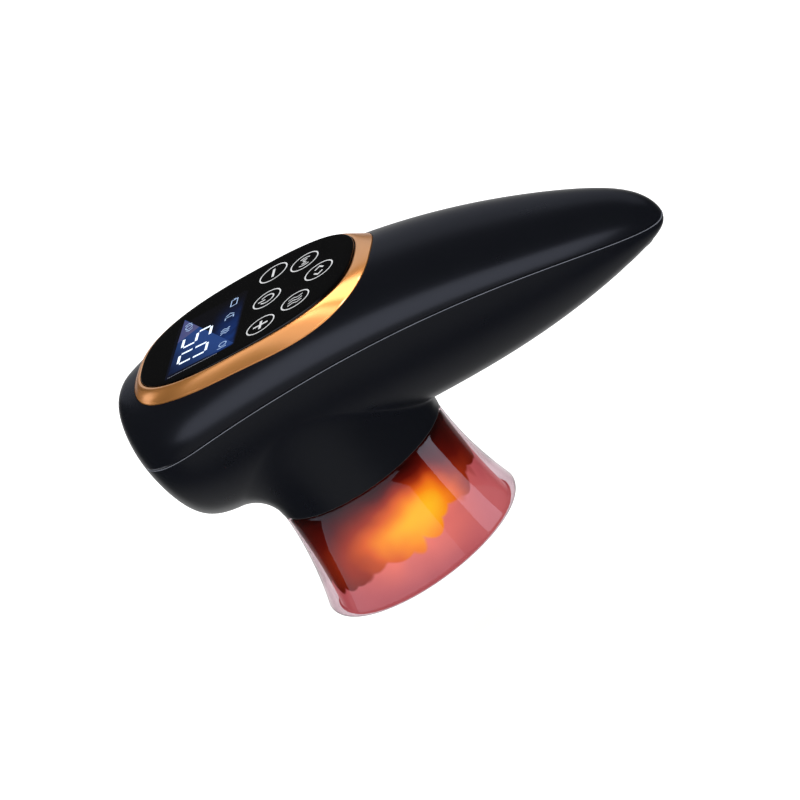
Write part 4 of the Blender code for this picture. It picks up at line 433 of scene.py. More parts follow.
def belly_rows(reach, angle, count, blend_count):
    """Keel rows from the outline to the neck's fillet, then a cubic Bezier curve into the upright neck."""
    front = (1 - np.cos(angle)) / 2
    width = NECK_BLEND_REAR + (NECK_BLEND_FRONT - NECK_BLEND_REAR) * front
    start = NECK_RADIUS + np.minimum(width, NECK_BLEND_MOST_SHARE * (reach - NECK_RADIUS))
    rows = list(surface_rows(reach, start, angle, keel_surface, count))
    step = (start - NECK_RADIUS) / 2
    a, ahead = rows[-1], ray_row(start - step, angle, keel_surface)
    slope = (ahead[:, 2] - a[:, 2]) / step
    edge = ray_row(NECK_RADIUS, angle, NECK_EDGE)
    pull = ray_row(start - step, angle, np.maximum(a[:, 2] + slope * step, NECK_EDGE + (a[:, 2] - NECK_EDGE) / 2))
    lift = edge + np.stack((0 * reach, 0 * reach, (a[:, 2] - NECK_EDGE) * NECK_LIFT_SHARE), -1)
    for t in np.linspace(0, 1, blend_count + 1)[1:]:
        s = 1 - t
        rows.append(s**3 * a + 3 * s * s * t * pull + 3 * s * t * t * lift + t**3 * edge)
    return np.array(rows)


def lining(rows, side):
    """Every second row one wall inside the surface along its normal, kept clear of the parting line."""
    normal = np.cross(np.roll(rows, -1, axis=1) - np.roll(rows, 1, axis=1), np.gradient(rows, axis=0))
    normal /= np.linalg.norm(normal, axis=2)[..., None]
    if (normal[1:LINING_ROWS, :, 2].mean() > 0) != (side > 0):
        normal = -normal
    normal[0, :, 2] = 0
    normal[0] /= np.linalg.norm(normal[0], axis=1)[:, None]
    inner = (rows - WALL * normal)[::2]
    rim = side * (seam_height(inner[..., 0]) + side * GAP / 2)
    inner[..., 2] = side * np.maximum(side * inner[..., 2], rim)
    inner[0, :, 2] = seam_height(inner[0, :, 0]) + side * GAP / 2
    return inner


def finer(rows):
    """The same rows with straight steps between their columns."""
    ahead = np.roll(rows, -1, axis=1)
    steps = [rows + (ahead - rows) * k / FINE_PER_COLUMN for k in range(FINE_PER_COLUMN)]
    return np.stack(steps, 2).reshape(len(rows), -1, 3)


def rounded_rim(rows, angle, side, radius):
    """The outer rows with a quarter circle under the first, half a gap from the parting line."""
    reach = np.hypot(rows[0, :, 0], rows[0, :, 1])
    edge = []
    for s, c in quarter(RIM_STEPS):
        row = ray_row(reach - radius * (1 - s), angle, 0.0)
        row[:, 2] = seam_height(row[:, 0]) + side * (GAP / 2 + radius * (1 - c))
        edge.append(row)
    rest = rows[1:].copy()
    least = side * seam_height(rest[..., 0]) + GAP / 2 + radius * 1.05
    rest[..., 2] = side * np.maximum(side * rest[..., 2], least)
    return np.concatenate((np.array(edge), rest))


# Meshes


def placed(points):
    """Points moved from the cup's axis into the frame."""
    points = np.asarray(points, float).reshape(-1, 3).copy()
    points[:, 0] += AXIS_X
    return points


def loft(rows, ends="cap"):
    """Closed rows of points joined by quads; the ends get a fan to their middle, or join each other."""
    rows = np.asarray(rows, float)
    count, around = rows.shape[:2]
    i, j = np.meshgrid(np.arange(count), np.arange(around), indexing="ij")
    k = (j + 1) % around
    below = (i + 1) % count
    quads = np.stack((i * around + j, i * around + k, below * around + k, below * around + j), -1)
    points = rows.reshape(-1, 3)
    if ends == "join":
        faces = quads.reshape(-1, 4).tolist()
    else:
        faces = quads[:-1].reshape(-1, 4).tolist()
        first, last = len(points), len(points) + 1
        points = np.vstack((points, rows[0].mean(0), rows[-1].mean(0)))
        j = np.arange(around)
        k = (j + 1) % around
        faces += np.stack((k, j, np.full(around, first)), -1).tolist()
        low = (count - 1) * around
        faces += np.stack((low + j, low + k, np.full(around, last)), -1).tolist()
    return outward(points, faces)


def outward(points, faces):
    """Turns all faces over when the signed volume of their fans is negative."""
    fans = [(f[0], f[n], f[n + 1]) for f in faces for n in range(1, len(f) - 1)]
    a, b, c = np.asarray(points)[np.array(fans).T]
    if np.einsum("ij,ij->", a, np.cross(b, c)) < 0:
        faces = [f[::-1] for f in faces]
    return points, faces


def merged(parts):
    """Several solids as one list of points and faces."""
    points, faces, start = [], [], 0
    for part_points, part_faces in parts:
        points.append(np.asarray(part_points, float).reshape(-1, 3))
        faces += [[v + start for v in f] for f in part_faces]
        start += len(points[-1])
    return np.vstack(points), faces


def revolved(profile, centre=(0, 0), sides=48, ends="cap"):
    """A profile of (radius, height) points turned round an upright axis."""
    angle = np.arange(sides) * 2 * math.pi / sides
    r, z = np.asarray(profile, float).T
    x, y = r[:, None] * np.cos(angle) + centre[0], r[:, None] * np.sin(angle) + centre[1]
    return loft(np.stack((x, y, np.tile(z[:, None], sides)), -1), ends)


def post(radius, low, high, at=(0, 0), sides=32):
    """An upright round post: two equal circles, one over the other."""
    return revolved(((radius, low), (radius, high)), at, sides)


def round_corner(centre_r, centre_z, radius, start, end, steps=4):
    """Points of (radius, height) along an arc from one direction to another, in degrees."""
    turn = np.radians(np.linspace(start, end, steps + 1))
    return list(zip(centre_r + radius * np.cos(turn), centre_z + radius * np.sin(turn)))


def lozenge(half_x, half_y, corner, centre=(0, 0), steps=6):
    """Plan points of a rectangle with round corners."""
    turn = np.linspace(0, math.pi / 2, steps + 1)
    points = []
    for k, (sx, sy) in enumerate(((1, 1), (-1, 1), (-1, -1), (1, -1))):
        a = turn + k * math.pi / 2
        x = sx * (half_x - corner) + corner * np.cos(a)
        y = sy * (half_y - corner) + corner * np.sin(a)
        points.append(np.stack((x, y), -1))
    return np.vstack(points) + centre


def slab(plan, low, high):
    """A plan outline carried straight up from one height to another."""
    plan = np.asarray(plan, float)
    return loft([np.c_[plan, np.full(len(plan), z)] for z in (low, high)])


def stroke(path, width, low, high, closed=False):
    """A flat band: every point of the path moved half a width to both sides along its mitre, low and high."""
    path = np.asarray(path, float)
    if closed:
        ahead, behind = np.roll(path, -1, 0) - path, path - np.roll(path, 1, 0)
    else:
        steps = np.diff(path, axis=0)
        ahead, behind = np.vstack((steps, steps[-1:])), np.vstack((steps[:1], steps))
    ahead /= np.linalg.norm(ahead, axis=1)[:, None]
    behind /= np.linalg.norm(behind, axis=1)[:, None]
    along = ahead + behind
    along /= np.linalg.norm(along, axis=1)[:, None]
    reach = width / 2 / np.maximum(np.abs((along * ahead).sum(1)), 0.5)
    side = np.stack((-along[:, 1], along[:, 0]), -1) * reach[:, None]
    left, right = path + side, path - side
    corners = (left, low), (left, high), (right, high), (right, low)
    rows = np.stack([np.c_[p, np.full(len(path), z)] for p, z in corners], 1)
    return loft(rows, "join" if closed else "cap")


def put(name, solid, slot, replaced=(), finishes=(), body="housing", smooth=40, face_finish=None):
    """A finished object from a solid's points and faces, riding on a body, in its slot's finish if none is given."""
    points, faces = solid
    mesh = bpy.data.meshes.new(name)
    mesh.from_pydata(placed(points).tolist(), [], faces)
    for made in finishes or [finish(slot)]:
        mesh.materials.append(made)
    if face_finish is not None:
        mesh.polygons.foreach_set("material_index", np.asarray(face_finish, np.int32))
    piece = bpy.data.objects.new(name, mesh)
    bpy.context.scene.collection.objects.link(piece)
    shade(piece, smooth)
    if body:
        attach(piece, body)
    if replaced:
        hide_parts(*replaced)
    return piece


def shade(piece, angle):
    """Smooth faces with sharp edges above an angle in degrees."""
    piece.data.polygons.foreach_set("use_smooth", np.ones(len(piece.data.polygons), bool))
    piece.data.set_sharp_from_angle(angle=math.radians(angle))
    piece.data.update()


def worked(piece, tools, operation):
    """The piece after one exact Boolean with a merged tool body, which is then removed."""
    tool = put("working_tool", merged(tools), None, (), [piece.data.materials[0]], None)
    change = piece.modifiers.new("work", "BOOLEAN")
    change.object, change.operation, change.solver = tool, operation, "EXACT"
    seen = piece.evaluated_get(bpy.context.evaluated_depsgraph_get())
    mesh = bpy.data.meshes.new_from_object(seen)
    piece.modifiers.clear()
    piece.data, old = mesh, piece.data
    bpy.data.meshes.remove(old)
    bpy.data.objects.remove(tool)
    if not mesh.polygons:
        raise RuntimeError(f"{piece.name} is empty after {operation}")
    shade(piece, SHELL_SHARP)
    return piece


# Materials


def feed(tree, node, inputs):
    """Sets or links a node's sockets."""
    for key, value in inputs.items():
        if isinstance(value, bpy.types.NodeSocket):
            tree.links.new(value, node.inputs[key])
        else:
            node.inputs[key].default_value = value


def add(tree, kind, inputs=None, **settings):
    """A shader node with its settings, its sockets set or linked."""
    made = tree.nodes.new(kind)
    for key, value in settings.items():
        setattr(made, key, value)
    feed(tree, made, inputs or {})
    return made


def calc(tree, operation, *values):
    """A math node of the values."""
    return add(tree, "ShaderNodeMath", dict(enumerate(values)), operation=operation).outputs[0]


def times(tree, *values):
    """The product of the values."""
    return reduce(lambda first, second: calc(tree, "MULTIPLY", first, second), values)


def plus(tree, *values):
    """The sum of the values."""
    return reduce(lambda first, second: calc(tree, "ADD", first, second), values)


def dimmed(tree, colour, share):
    """A colour times a share."""
    return add(tree, "ShaderNodeVectorMath", {0: colour, "Scale": share}, operation="SCALE").outputs[0]


def rgba(colour):
    """A colour for a socket: a link as it is, values with an alpha of 1."""
    return colour if isinstance(colour, bpy.types.NodeSocket) else (*colour[:3], 1.0)


def blend(tree, share, first, second):
    """The first colour where the share is 0, the second where it is 1."""
    return add(tree, "ShaderNodeMix", {0: share, 6: rgba(first), 7: rgba(second)}, data_type="RGBA").outputs[2]


def rise(tree, value, low, high, to_low=0.0, to_high=1.0):
    """A smooth step of a value between two limits."""
    sockets = {0: value, 1: low, 2: high, 3: to_low, 4: to_high}
    return add(tree, "ShaderNodeMapRange", sockets, interpolation_type="SMOOTHSTEP").outputs[0]


def noise(tree, scale, detail=3.0, vector=None, roughness=0.5):
    """Noise over the object's coordinates, or over a given vector."""
    inputs = {"Scale": scale, "Detail": detail, "Roughness": roughness}
    inputs["Vector"] = vector or add(tree, "ShaderNodeTexCoord").outputs["Object"]
    return add(tree, "ShaderNodeTexNoise", inputs).outputs[0]


def new_group(name, inputs, outputs):
    """An empty node group: its inputs with their values, its outputs by name; a colour has four values."""
    tree = bpy.data.node_groups.new(name, "ShaderNodeTree")
    for label, value in inputs.items():
        kind = "NodeSocketFloat" if isinstance(value, float) else "NodeSocketColor"
        tree.interface.new_socket(label, in_out="INPUT", socket_type=kind).default_value = value
    for label in outputs:
        kind = "NodeSocketColor" if label == "Colour" else "NodeSocketFloat"
        tree.interface.new_socket(label, in_out="OUTPUT", socket_type=kind)
    return tree, add(tree, "NodeGroupInput").outputs


@cache
def grain_group():
    """Grain and handling marks that most finishes share: fine grain for the bump, broad patches for tone and gloss."""
    inputs = {"Colour": (0.5, 0.5, 0.5, 1), "Colour Change": 0.1, "Roughness": 0.4, "Roughness Change": 0.1}
    inputs |= {"Grain Scale": 3000.0, "Patch Scale": 60.0}
    tree, given = new_group("grain_and_handling", inputs, ("Colour", "Roughness", "Height"))
    grain = noise(tree, given["Grain Scale"], 2.0)
    patch = noise(tree, given["Patch Scale"], 4.0, roughness=0.6)
    shift = plus(tree, patch, times(tree, grain, 0.5), -0.75)
    tone = plus(tree, times(tree, shift, given["Colour Change"], 2.0), 1.0)
    gloss = times(tree, plus(tree, patch, -0.5), given["Roughness Change"], 2.0)
    gloss = plus(tree, gloss, given["Roughness"])
    add(tree, "NodeGroupOutput", {"Colour": dimmed(tree, given["Colour"], tone), "Roughness": gloss, "Height": grain})
    return tree


@cache
def wear_group():
    """Worn edges: a mask that rises where the surface is sharply convex, broken up by noise."""
    tree, given = new_group("edge_wear", {"From": 0.52, "To": 0.62, "Break Up Scale": 400.0}, ("Mask",))
    edge = add(tree, "ShaderNodeNewGeometry").outputs["Pointiness"]
    broken = rise(tree, noise(tree, given["Break Up Scale"]), 0.3, 0.6, 0.4, 1.0)
    add(tree, "NodeGroupOutput", {"Mask": times(tree, rise(tree, edge, given["From"], given["To"]), broken)})
    return tree


def worn_edges(tree, low, high):
    """The mask of the shared group of worn edges, between two limits of convexity."""
    return add(tree, "ShaderNodeGroup", {"From": low, "To": high}, node_tree=wear_group()).outputs["Mask"]


def shader_of(name, plain):
    """A new material, its tree and its Principled shader with plain values on its sockets."""
    made = bpy.data.materials.new(name)
    made.use_nodes = True
    shader = made.node_tree.nodes["Principled BSDF"]
    feed(made.node_tree, shader, plain)
    return made, made.node_tree, shader


def grained(
    name, colour, roughness, colour_change=0.12, roughness_change=0.12, grain=3000.0, patch=60.0, bump=0.15,
    depth=0.00005, metallic=0.0, coat=0.0, coat_roughness=0.1, clear=0.0, worn=None, glow=None,
):
    """A finish from the shared grain group. Worn is a colour, a change of roughness and the limits of the worn edges;
    glow is a colour and a strength."""
    plain = {"Metallic": metallic, "Coat Weight": coat, "Coat Roughness": coat_roughness, "Transmission Weight": clear}
    made, tree, shader = shader_of(name, plain)
    inputs = {"Colour": (*colour, 1.0), "Colour Change": colour_change, "Roughness": roughness}
    inputs |= {"Roughness Change": roughness_change, "Grain Scale": grain, "Patch Scale": patch}
    marks = add(tree, "ShaderNodeGroup", inputs, node_tree=grain_group()).outputs
    tone, gloss = marks["Colour"], marks["Roughness"]
    if worn:
        worn_colour, worn_change, low, high = worn
        mask = worn_edges(tree, low, high)
        tone = blend(tree, mask, tone, worn_colour)
        gloss = plus(tree, gloss, times(tree, mask, worn_change))
    relief = add(tree, "ShaderNodeBump", {"Strength": bump, "Distance": depth, "Height": marks["Height"]})
    feed(tree, shader, {"Base Color": tone, "Roughness": gloss, "Normal": relief.outputs["Normal"]})
    if glow:
        feed(tree, shader, {"Emission Color": (*glow[0], 1), "Emission Strength": glow[1]})
    return made


def part_place(tree):
    """Object coordinates in millimetres from the cup's axis, as x, y, z and as one vector."""
    place = add(tree, "ShaderNodeTexCoord").outputs["Object"]
    moved = add(tree, "ShaderNodeMapping", {"Vector": place, "Location": (-AXIS_X * 1000, 0, 0), "Scale": (1000,) * 3})
    return add(tree, "ShaderNodeSeparateXYZ", {0: moved.outputs[0]}).outputs, moved.outputs[0]


def gold_finish(look):
    """Satin metal coat: broad soft patches from noise and bright thin edges."""
    made, tree, shader = shader_of("copper_gold", {"Metallic": 0.8, "Coat Weight": 0.6, "Coat Roughness": 0.2})
    patch = noise(tree, 30.0, 2.0)
    richer = [c * s for c, s in zip(look.colour, (1.03, 1.1, 1.25))]
    colour = blend(tree, rise(tree, patch, 0.35, 0.65), look.colour, richer)
    colour = blend(tree, times(tree, worn_edges(tree, 0.53, 0.66), 0.5), colour, (1.0, 0.78, 0.5))
    feed(tree, shader, {"Base Color": colour, "Roughness": rise(tree, patch, 0.2, 0.8, 0.27, 0.34)})
    return made


def rim_painted_highlight_finish():
    """The keel shell's rim along the parting line: light grey with a faint glow, a painted highlight for the light
    line that the rim catches, a little uneven.
    """
    made, tree, shader = shader_of("rim_painted_highlight", {"Metallic": 0.0, "Roughness": 0.35, "Emission Strength": 0.08})
    colour = blend(tree, noise(tree, 150.0, 2.0), (0.13, 0.14, 0.17), (0.22, 0.23, 0.27))
    feed(tree, shader, {"Base Color": colour, "Emission Color": colour})
    return made


def lit(name, colour, strength, low=0.75):
    """A lit or printed mark: its own colour, uneven by a broad noise, with a gloss like the panel's."""
    made, tree, shader = shader_of(name, {"Emission Strength": strength, "Roughness": 0.25})
    uneven = dimmed(tree, tuple(colour), rise(tree, noise(tree, 500.0, 2.0), 0.25, 0.7, low, 1.0))
    feed(tree, shader, {"Base Color": uneven, "Emission Color": uneven})
    return made


def display_shader(name, base):
    """A display's material with its shader, and x and y on the panel in millimetres."""
    made, tree, shader = shader_of(name, {"Emission Strength": 1.0, "Roughness": 0.07, "Base Color": (*base, 1)})
    (x, y, _), _ = part_place(tree)
    return made, tree, shader, x, y


def field_finish(look):
    """The display's dark field: a deep blue band near the keys and a fainter light along the near side."""
    made, tree, shader, x, y = display_shader("display_field", (0.004, 0.004, 0.006))
    band = plus(tree, times(tree, rise(tree, x, -15.0, -8.5), 0.7), 0.06)
    near = rise(tree, times(tree, y, -1.0), -15.0, 14.0)
    end = rise(tree, x, -4.4, -2.7, 1.0, 0.0)
    light = times(tree, band, near, end, rise(tree, noise(tree, 260.0), 0.2, 0.75, 0.6, 1.1))
    feed(tree, shader, {"Emission Color": dimmed(tree, tuple(look.field_colour), light)})
    return made


def wedge_finish(name, first, second, turn):
    """A lit wedge: from one blue to another along a direction, clouded by noise."""
    made, tree, shader, x, y = display_shader(name, (0.004, 0.006, 0.012))
    along = plus(tree, times(tree, x, math.cos(turn)), times(tree, y, math.sin(turn)))
    share = plus(tree, rise(tree, along, -34.0, -14.0), times(tree, noise(tree, 300.0), 0.35), -0.17)
    feed(tree, shader, {"Emission Color": blend(tree, share, first, second)})
    return made


def clear_glass():
    """Clear glass of the cup's outer face, barely pink, with faint swirls in its gloss."""
    plain = {"Transmission Weight": 1.0, "IOR": 1.03, "Coat Weight": 1.0, "Coat Roughness": 0.02}
    made, tree, shader = shader_of("clear_cup_glass", plain)
    swirl = noise(tree, 90.0, 2.0)
    colour = blend(tree, swirl, (0.66, 0.5, 0.54), (0.56, 0.4, 0.45))
    feed(tree, shader, {"Base Color": colour, "Roughness": rise(tree, swirl, 0.2, 0.8, 0.01, 0.05)})
    return made


# Colours of the painted glow in the cup's glass, from none to the brightest
PAINTED_GLOW_STOPS = (
    (0.0, (0.002, 0.0004, 0.0004)),
    (0.14, (0.07, 0.003, 0.001)),
    (0.34, (0.3, 0.03, 0.005)),
    (0.56, (0.72, 0.13, 0.012)),
    (0.78, (0.95, 0.3, 0.01)),
    (1.0, (1.0, 0.58, 0.018)),
)


def glass_with_painted_glow(look):
    """The cup's inner face with a painted glow: the lamps' light is painted into its emission. Heat, the share of that
    painted glow, is a broad lobe round the axis times a hump in height, and runs from black red through orange to
    yellow. Below a border of round bulges the glass is rose, and so is its painted glow."""
    plain = {"Transmission Weight": 0.08, "IOR": 1.06, "Roughness": 0.08, "Emission Strength": look.glow}
    made, tree, shader = shader_of("amber_glass_painted_glow", plain)
    (x, y, z), place = part_place(tree)
    uneven = plus(tree, noise(tree, 0.07, 2.0, place), -0.5)
    drift = noise(tree, 0.05, 2.0, place)
    away = plus(tree, calc(tree, "ARCTAN2", y, x), times(tree, uneven, 0.35), -look.core_turn)
    spread = calc(tree, "ABSOLUTE", times(tree, away, rise(tree, away, -0.1, 0.5, 1.9, 2.7)))
    lobe = calc(tree, "COSINE", calc(tree, "MINIMUM", spread, math.pi))
    lobe = calc(tree, "POWER", calc(tree, "MULTIPLY_ADD", lobe, 0.5, 0.5), 1.4)
    height = plus(tree, z, times(tree, uneven, 7.0))
    core = look.core_height * 1000
    above = rise(tree, height, core - 2.0, core + 15.0, 1.0, 0.0)
    below = rise(tree, height, core - 14.0, core, 0.55, 1.0)
    # Heat is the share of the painted glow: the lamps' light painted into the glass.
    heat = times(tree, above, below, calc(tree, "MULTIPLY_ADD", lobe, 0.87, 0.13))
    heat = plus(tree, heat, rise(tree, z, 9.0, 28.0, 0.09, 0.0))
    ramp = add(tree, "ShaderNodeValToRGB", {0: heat})
    elements = ramp.color_ramp.elements
    while len(elements) < len(PAINTED_GLOW_STOPS):
        elements.new(0.5)
    for element, (share, colour) in zip(elements, PAINTED_GLOW_STOPS):
        element.position, element.color = share, (*colour, 1)
    bulge = add(tree, "ShaderNodeTexVoronoi", {"Vector": place, "Scale": 0.12}).outputs["Distance"]
    border = plus(tree, z, times(tree, bulge, -8.5), times(tree, calc(tree, "SINE", away), -4.6))
    rosy = rise(tree, border, 7.8, 9.2, 1.0, 0.0)
    rose = blend(tree, times(tree, lobe, rise(tree, z, 1.0, 12.0)), (0.32, 0.062, 0.07), (0.92, 0.22, 0.12))
    rose = blend(tree, times(tree, rise(tree, drift, 0.4, 0.65), 0.6), rose, (0.42, 0.1, 0.1))
    base = blend(tree, rosy, (0.05, 0.004, 0.002), (0.3, 0.1, 0.1))
    # The emission is painted light: the glow colours above the border, the rose glow below it.
    feed(tree, shader, {"Base Color": base, "Emission Color": blend(tree, rosy, ramp.outputs[0], rose)})
    return made


@cache
def finishes():
    """Finishes by the record's material slots."""
    shell = bpy.context.scene.massager_shell
    return {
        "satin_black_shell": grained(
            "satin_black", tuple(shell.colour), shell.roughness, colour_change=0.1, roughness_change=0.05, bump=0.06,
            depth=0.00002, worn=((0.11, 0.115, 0.13), -0.06, 0.54, 0.64),
        ),
        "copper_gold_ring": gold_finish(bpy.context.scene.massager_ring),
        "black_panel": grained(
            "panel_glass", (0.0012, 0.0012, 0.0014), 0.07, colour_change=0.3, roughness_change=0.03, grain=900.0,
            bump=0.01, coat=0.2, coat_roughness=0.03,
        ),
        "amber_cup_glass": clear_glass(),
        "red_window": grained(
            "red_window", (0.8, 0.06, 0.02), 0.28, clear=0.45, grain=1400.0, glow=((1.0, 0.08, 0.02), 0.6)
        ),
        "blue_display": grained("display_block", (0.02, 0.03, 0.06), 0.3, grain=1800.0, bump=0.05),
        "green_board": grained("solder_mask", (0.01, 0.11, 0.04), 0.38, grain=2600.0, patch=300.0, coat=0.3),
        "plated_steel": grained(
            "plated_steel", (0.55, 0.56, 0.57), 0.28, metallic=1.0, grain=4200.0, patch=500.0, roughness_change=0.2
        ),
        "copper_winding": grained(
            "enamelled_copper", (0.65, 0.22, 0.07), 0.32, metallic=1.0, grain=5200.0, bump=0.5, depth=0.0001
        ),
        "grey_rubber": grained("grey_rubber", (0.045, 0.045, 0.05), 0.78, grain=2600.0, bump=0.35, depth=0.00008),
        "milky_silicone": grained("milky_silicone", (0.68, 0.68, 0.65), 0.42, grain=1500.0, clear=0.15, patch=120.0),
        "dark_plastic": grained("dark_plastic", (0.03, 0.03, 0.034), 0.5, grain=2200.0, bump=0.3, depth=0.00006),
        "white_plastic": grained("white_plastic", (0.72, 0.71, 0.67), 0.42, grain=2200.0, bump=0.2),
        "blue_cell_wrap": grained("shrink_wrap", (0.015, 0.09, 0.3), 0.3, grain=700.0, patch=80.0, coat=0.4),
        "black_foam": grained("black_foam", (0.02, 0.02, 0.02), 0.95, grain=1600.0, bump=0.9, depth=0.0003),
        "red_wire": grained("red_wire", (0.5, 0.02, 0.015), 0.4, grain=2600.0),
        "black_wire": grained("black_wire", (0.015, 0.015, 0.015), 0.42, grain=2600.0),
        "ferrite": grained("ferrite", (0.05, 0.05, 0.055), 0.6, metallic=0.4, grain=3400.0, bump=0.4),
    }


def finish(slot):
    """The finish for a material slot; all are made once."""
    return finishes()[slot]


# Pieces


def fine_columns():
    """The outline's points for the outer faces: several to each column of the lining."""
    return outline_columns(LINING_COLUMNS * FINE_PER_COLUMN)


class MASSAGER_OT_top_shell(Operator):
    """Top shell: fine crown surface, rounded rim, seat of the ring, floor with its openings, and the screw bosses"""

    bl_idname = "massager.top_shell"
    bl_label = "Top shell"

    def execute(self, context):
        reach, angle = fine_columns()
        ring, floor = ring_reach(angle), FLOOR_OUTLINE_SHARE * panel_reach(angle)
        outer = surface_rows(reach, ring, angle, crown_surface, FINE_ROWS)
        outer = rounded_rim(outer, angle, 1, context.scene.massager_shell.edge_round)
        coarse_reach, coarse_angle = outline_columns(LINING_COLUMNS)
        coarse = surface_rows(coarse_reach, ring_reach(coarse_angle), coarse_angle, crown_surface, LINING_ROWS)
        inner = finer(lining(coarse, 1))
        rows = [ray_row(floor, angle, FLOOR_BOTTOM), *inner[:-1][::-1], *outer]
        rows += [ray_row(ring, angle, ring_seat(ring, angle)), ray_row(floor, angle, FLOOR_TOP)]
        shell = put("crown_shell", loft(rows), "satin_black_shell", ("top_shell",), smooth=SHELL_SHARP)
        posts, bores = [], []
        for x, split in SHELL_SCREWS:
            crown = level(crown_surface, x + SHELL_BOSS_RADIUS, SHELL_BOSS_RADIUS)
            roof = (FLOOR_BOTTOM + FLOOR_TOP) / 2 if x < PANEL_HANDLE_REACH else crown - WALL / 2
            posts.append(post(SHELL_BOSS_RADIUS, split + GAP, roof, (x, 0)))
            bores.append(post(SHELL_BORE, split - CUT_REACH, split + SHELL_GRIP, (x, 0)))
        worked(shell, posts, "UNION")
        low, high = FLOOR_BOTTOM - CUT_REACH / 2, FLOOR_TOP + CUT_REACH / 2
        bores.append(slab(lozenge(LCD_HALF_LENGTH, LCD_HALF_WIDTH, 0.001, (LCD_MIDDLE, 0), 4), low, high))
        bores += [post(KEY_OPENING, low, high, at) for at in KEY_PLACES]
        bores += [post(SMALL_BORE, low, high, at, 20) for at in BOARD_SCREWS]
        worked(shell, bores, "DIFFERENCE")
        return {"FINISHED"}


class MASSAGER_OT_bottom_shell(Operator):
    """Bottom shell: fine keel surface, neck with its fillet, collar, ledge, bosses, screw wells and charging slot"""

    bl_idname = "massager.bottom_shell"
    bl_label = "Bottom shell"

    def execute(self, context):
        look = context.scene.massager_shell
        reach, angle = fine_columns()
        outer = belly_rows(reach, angle, FINE_ROWS, FINE_BLEND_ROWS)
        outer = list(rounded_rim(outer, angle, -1, look.edge_round))[:-1]
        e = look.edge_round * 1.4
        outer += [ray_row(NECK_RADIUS - e * (1 - c), angle, NECK_EDGE + e * (1 - s)) for s, c in quarter(4)]
        coarse_reach, coarse_angle = outline_columns(LINING_COLUMNS)
        inner = lining(belly_rows(coarse_reach, coarse_angle, LINING_ROWS, LINING_BLEND_ROWS), -1)
        inner[-1] = ray_row(NECK_RADIUS - WALL, coarse_angle, NECK_EDGE)
        rows = outer + list(finer(inner)[::-1])
        shell = put(
            "keel_shell", loft(rows, "join"), "satin_black_shell", ("bottom_shell",), smooth=SHELL_SHARP,
            # The second finish is the painted highlight on the rim's first rows.
            finishes=[finish("satin_black_shell"), rim_painted_highlight_finish()],
            face_finish=np.arange(len(rows)).repeat(len(angle)) < RIM_STEPS - 1,
        )
        low, outside, ledge = NECK_EDGE + COLLAR_INSET, COLLAR_RADIUS + COLLAR_WALL, COLLAR_RADIUS - LEDGE_WIDTH
        collar = ((outside, low), (outside, LEDGE_TOP), (ledge, LEDGE_TOP), (ledge, LEDGE_BOTTOM))
        collar += ((COLLAR_RADIUS, LEDGE_BOTTOM), (COLLAR_RADIUS, low))
        worked(shell, [revolved(collar, sides=120, ends="join")], "UNION")
        turns = np.arange(3) * 2 * math.pi / 3
        places = [(NECK_SCREW_CIRCLE * math.cos(a), NECK_SCREW_CIRCLE * math.sin(a)) for a in turns]
        posts = [post(NECK_BOSS_RADIUS, LEDGE_BOTTOM + GAP, NECK_BOSS_TOP, at) for at in places]
        bores = [post(SMALL_BORE, LEDGE_BOTTOM - CUT_REACH, NECK_BOSS_TOP + CUT_REACH, at, 20) for at in places]
        for x in PEGS:
            posts.append(post(PEG_BOSS_RADIUS, level(keel_surface, x) + WALL / 2, CRADLE_BASE - GAP, (x, 0)))
            bores.append(post(PEG_BORE, CRADLE_BASE - PEG_DEPTH, CRADLE_BASE + CUT_REACH, (x, 0)))
        wells = []
        for x, split in SHELL_SCREWS:
            keel = level(keel_surface, x)
            posts.append(post(SHELL_WELL_RADIUS + SHELL_WELL_WALL, keel + WALL / 2, split, (x, 0)))
            wells.append(post(SHELL_WELL_RADIUS, keel - 2 * CUT_REACH, keel + SHELL_SEAT, (x, 0), 48))
            bores.append(post(SHELL_BORE, keel + SHELL_SEAT - CUT_REACH / 2, split + CUT_REACH, (x, 0)))
        half = SLOT_LENGTH / 2
        slot_plan = lozenge(half + GAP, SLOT_HALF_WIDTH, half - GAP, (SLOT_FROM + half, 0), 8)
        wells.append(slab(slot_plan, SLOT_CUT_FROM, SLOT_TOP))
        worked(shell, posts, "UNION")
        worked(shell, wells, "DIFFERENCE")
        worked(shell, bores, "DIFFERENCE")
        return {"FINISHED"}


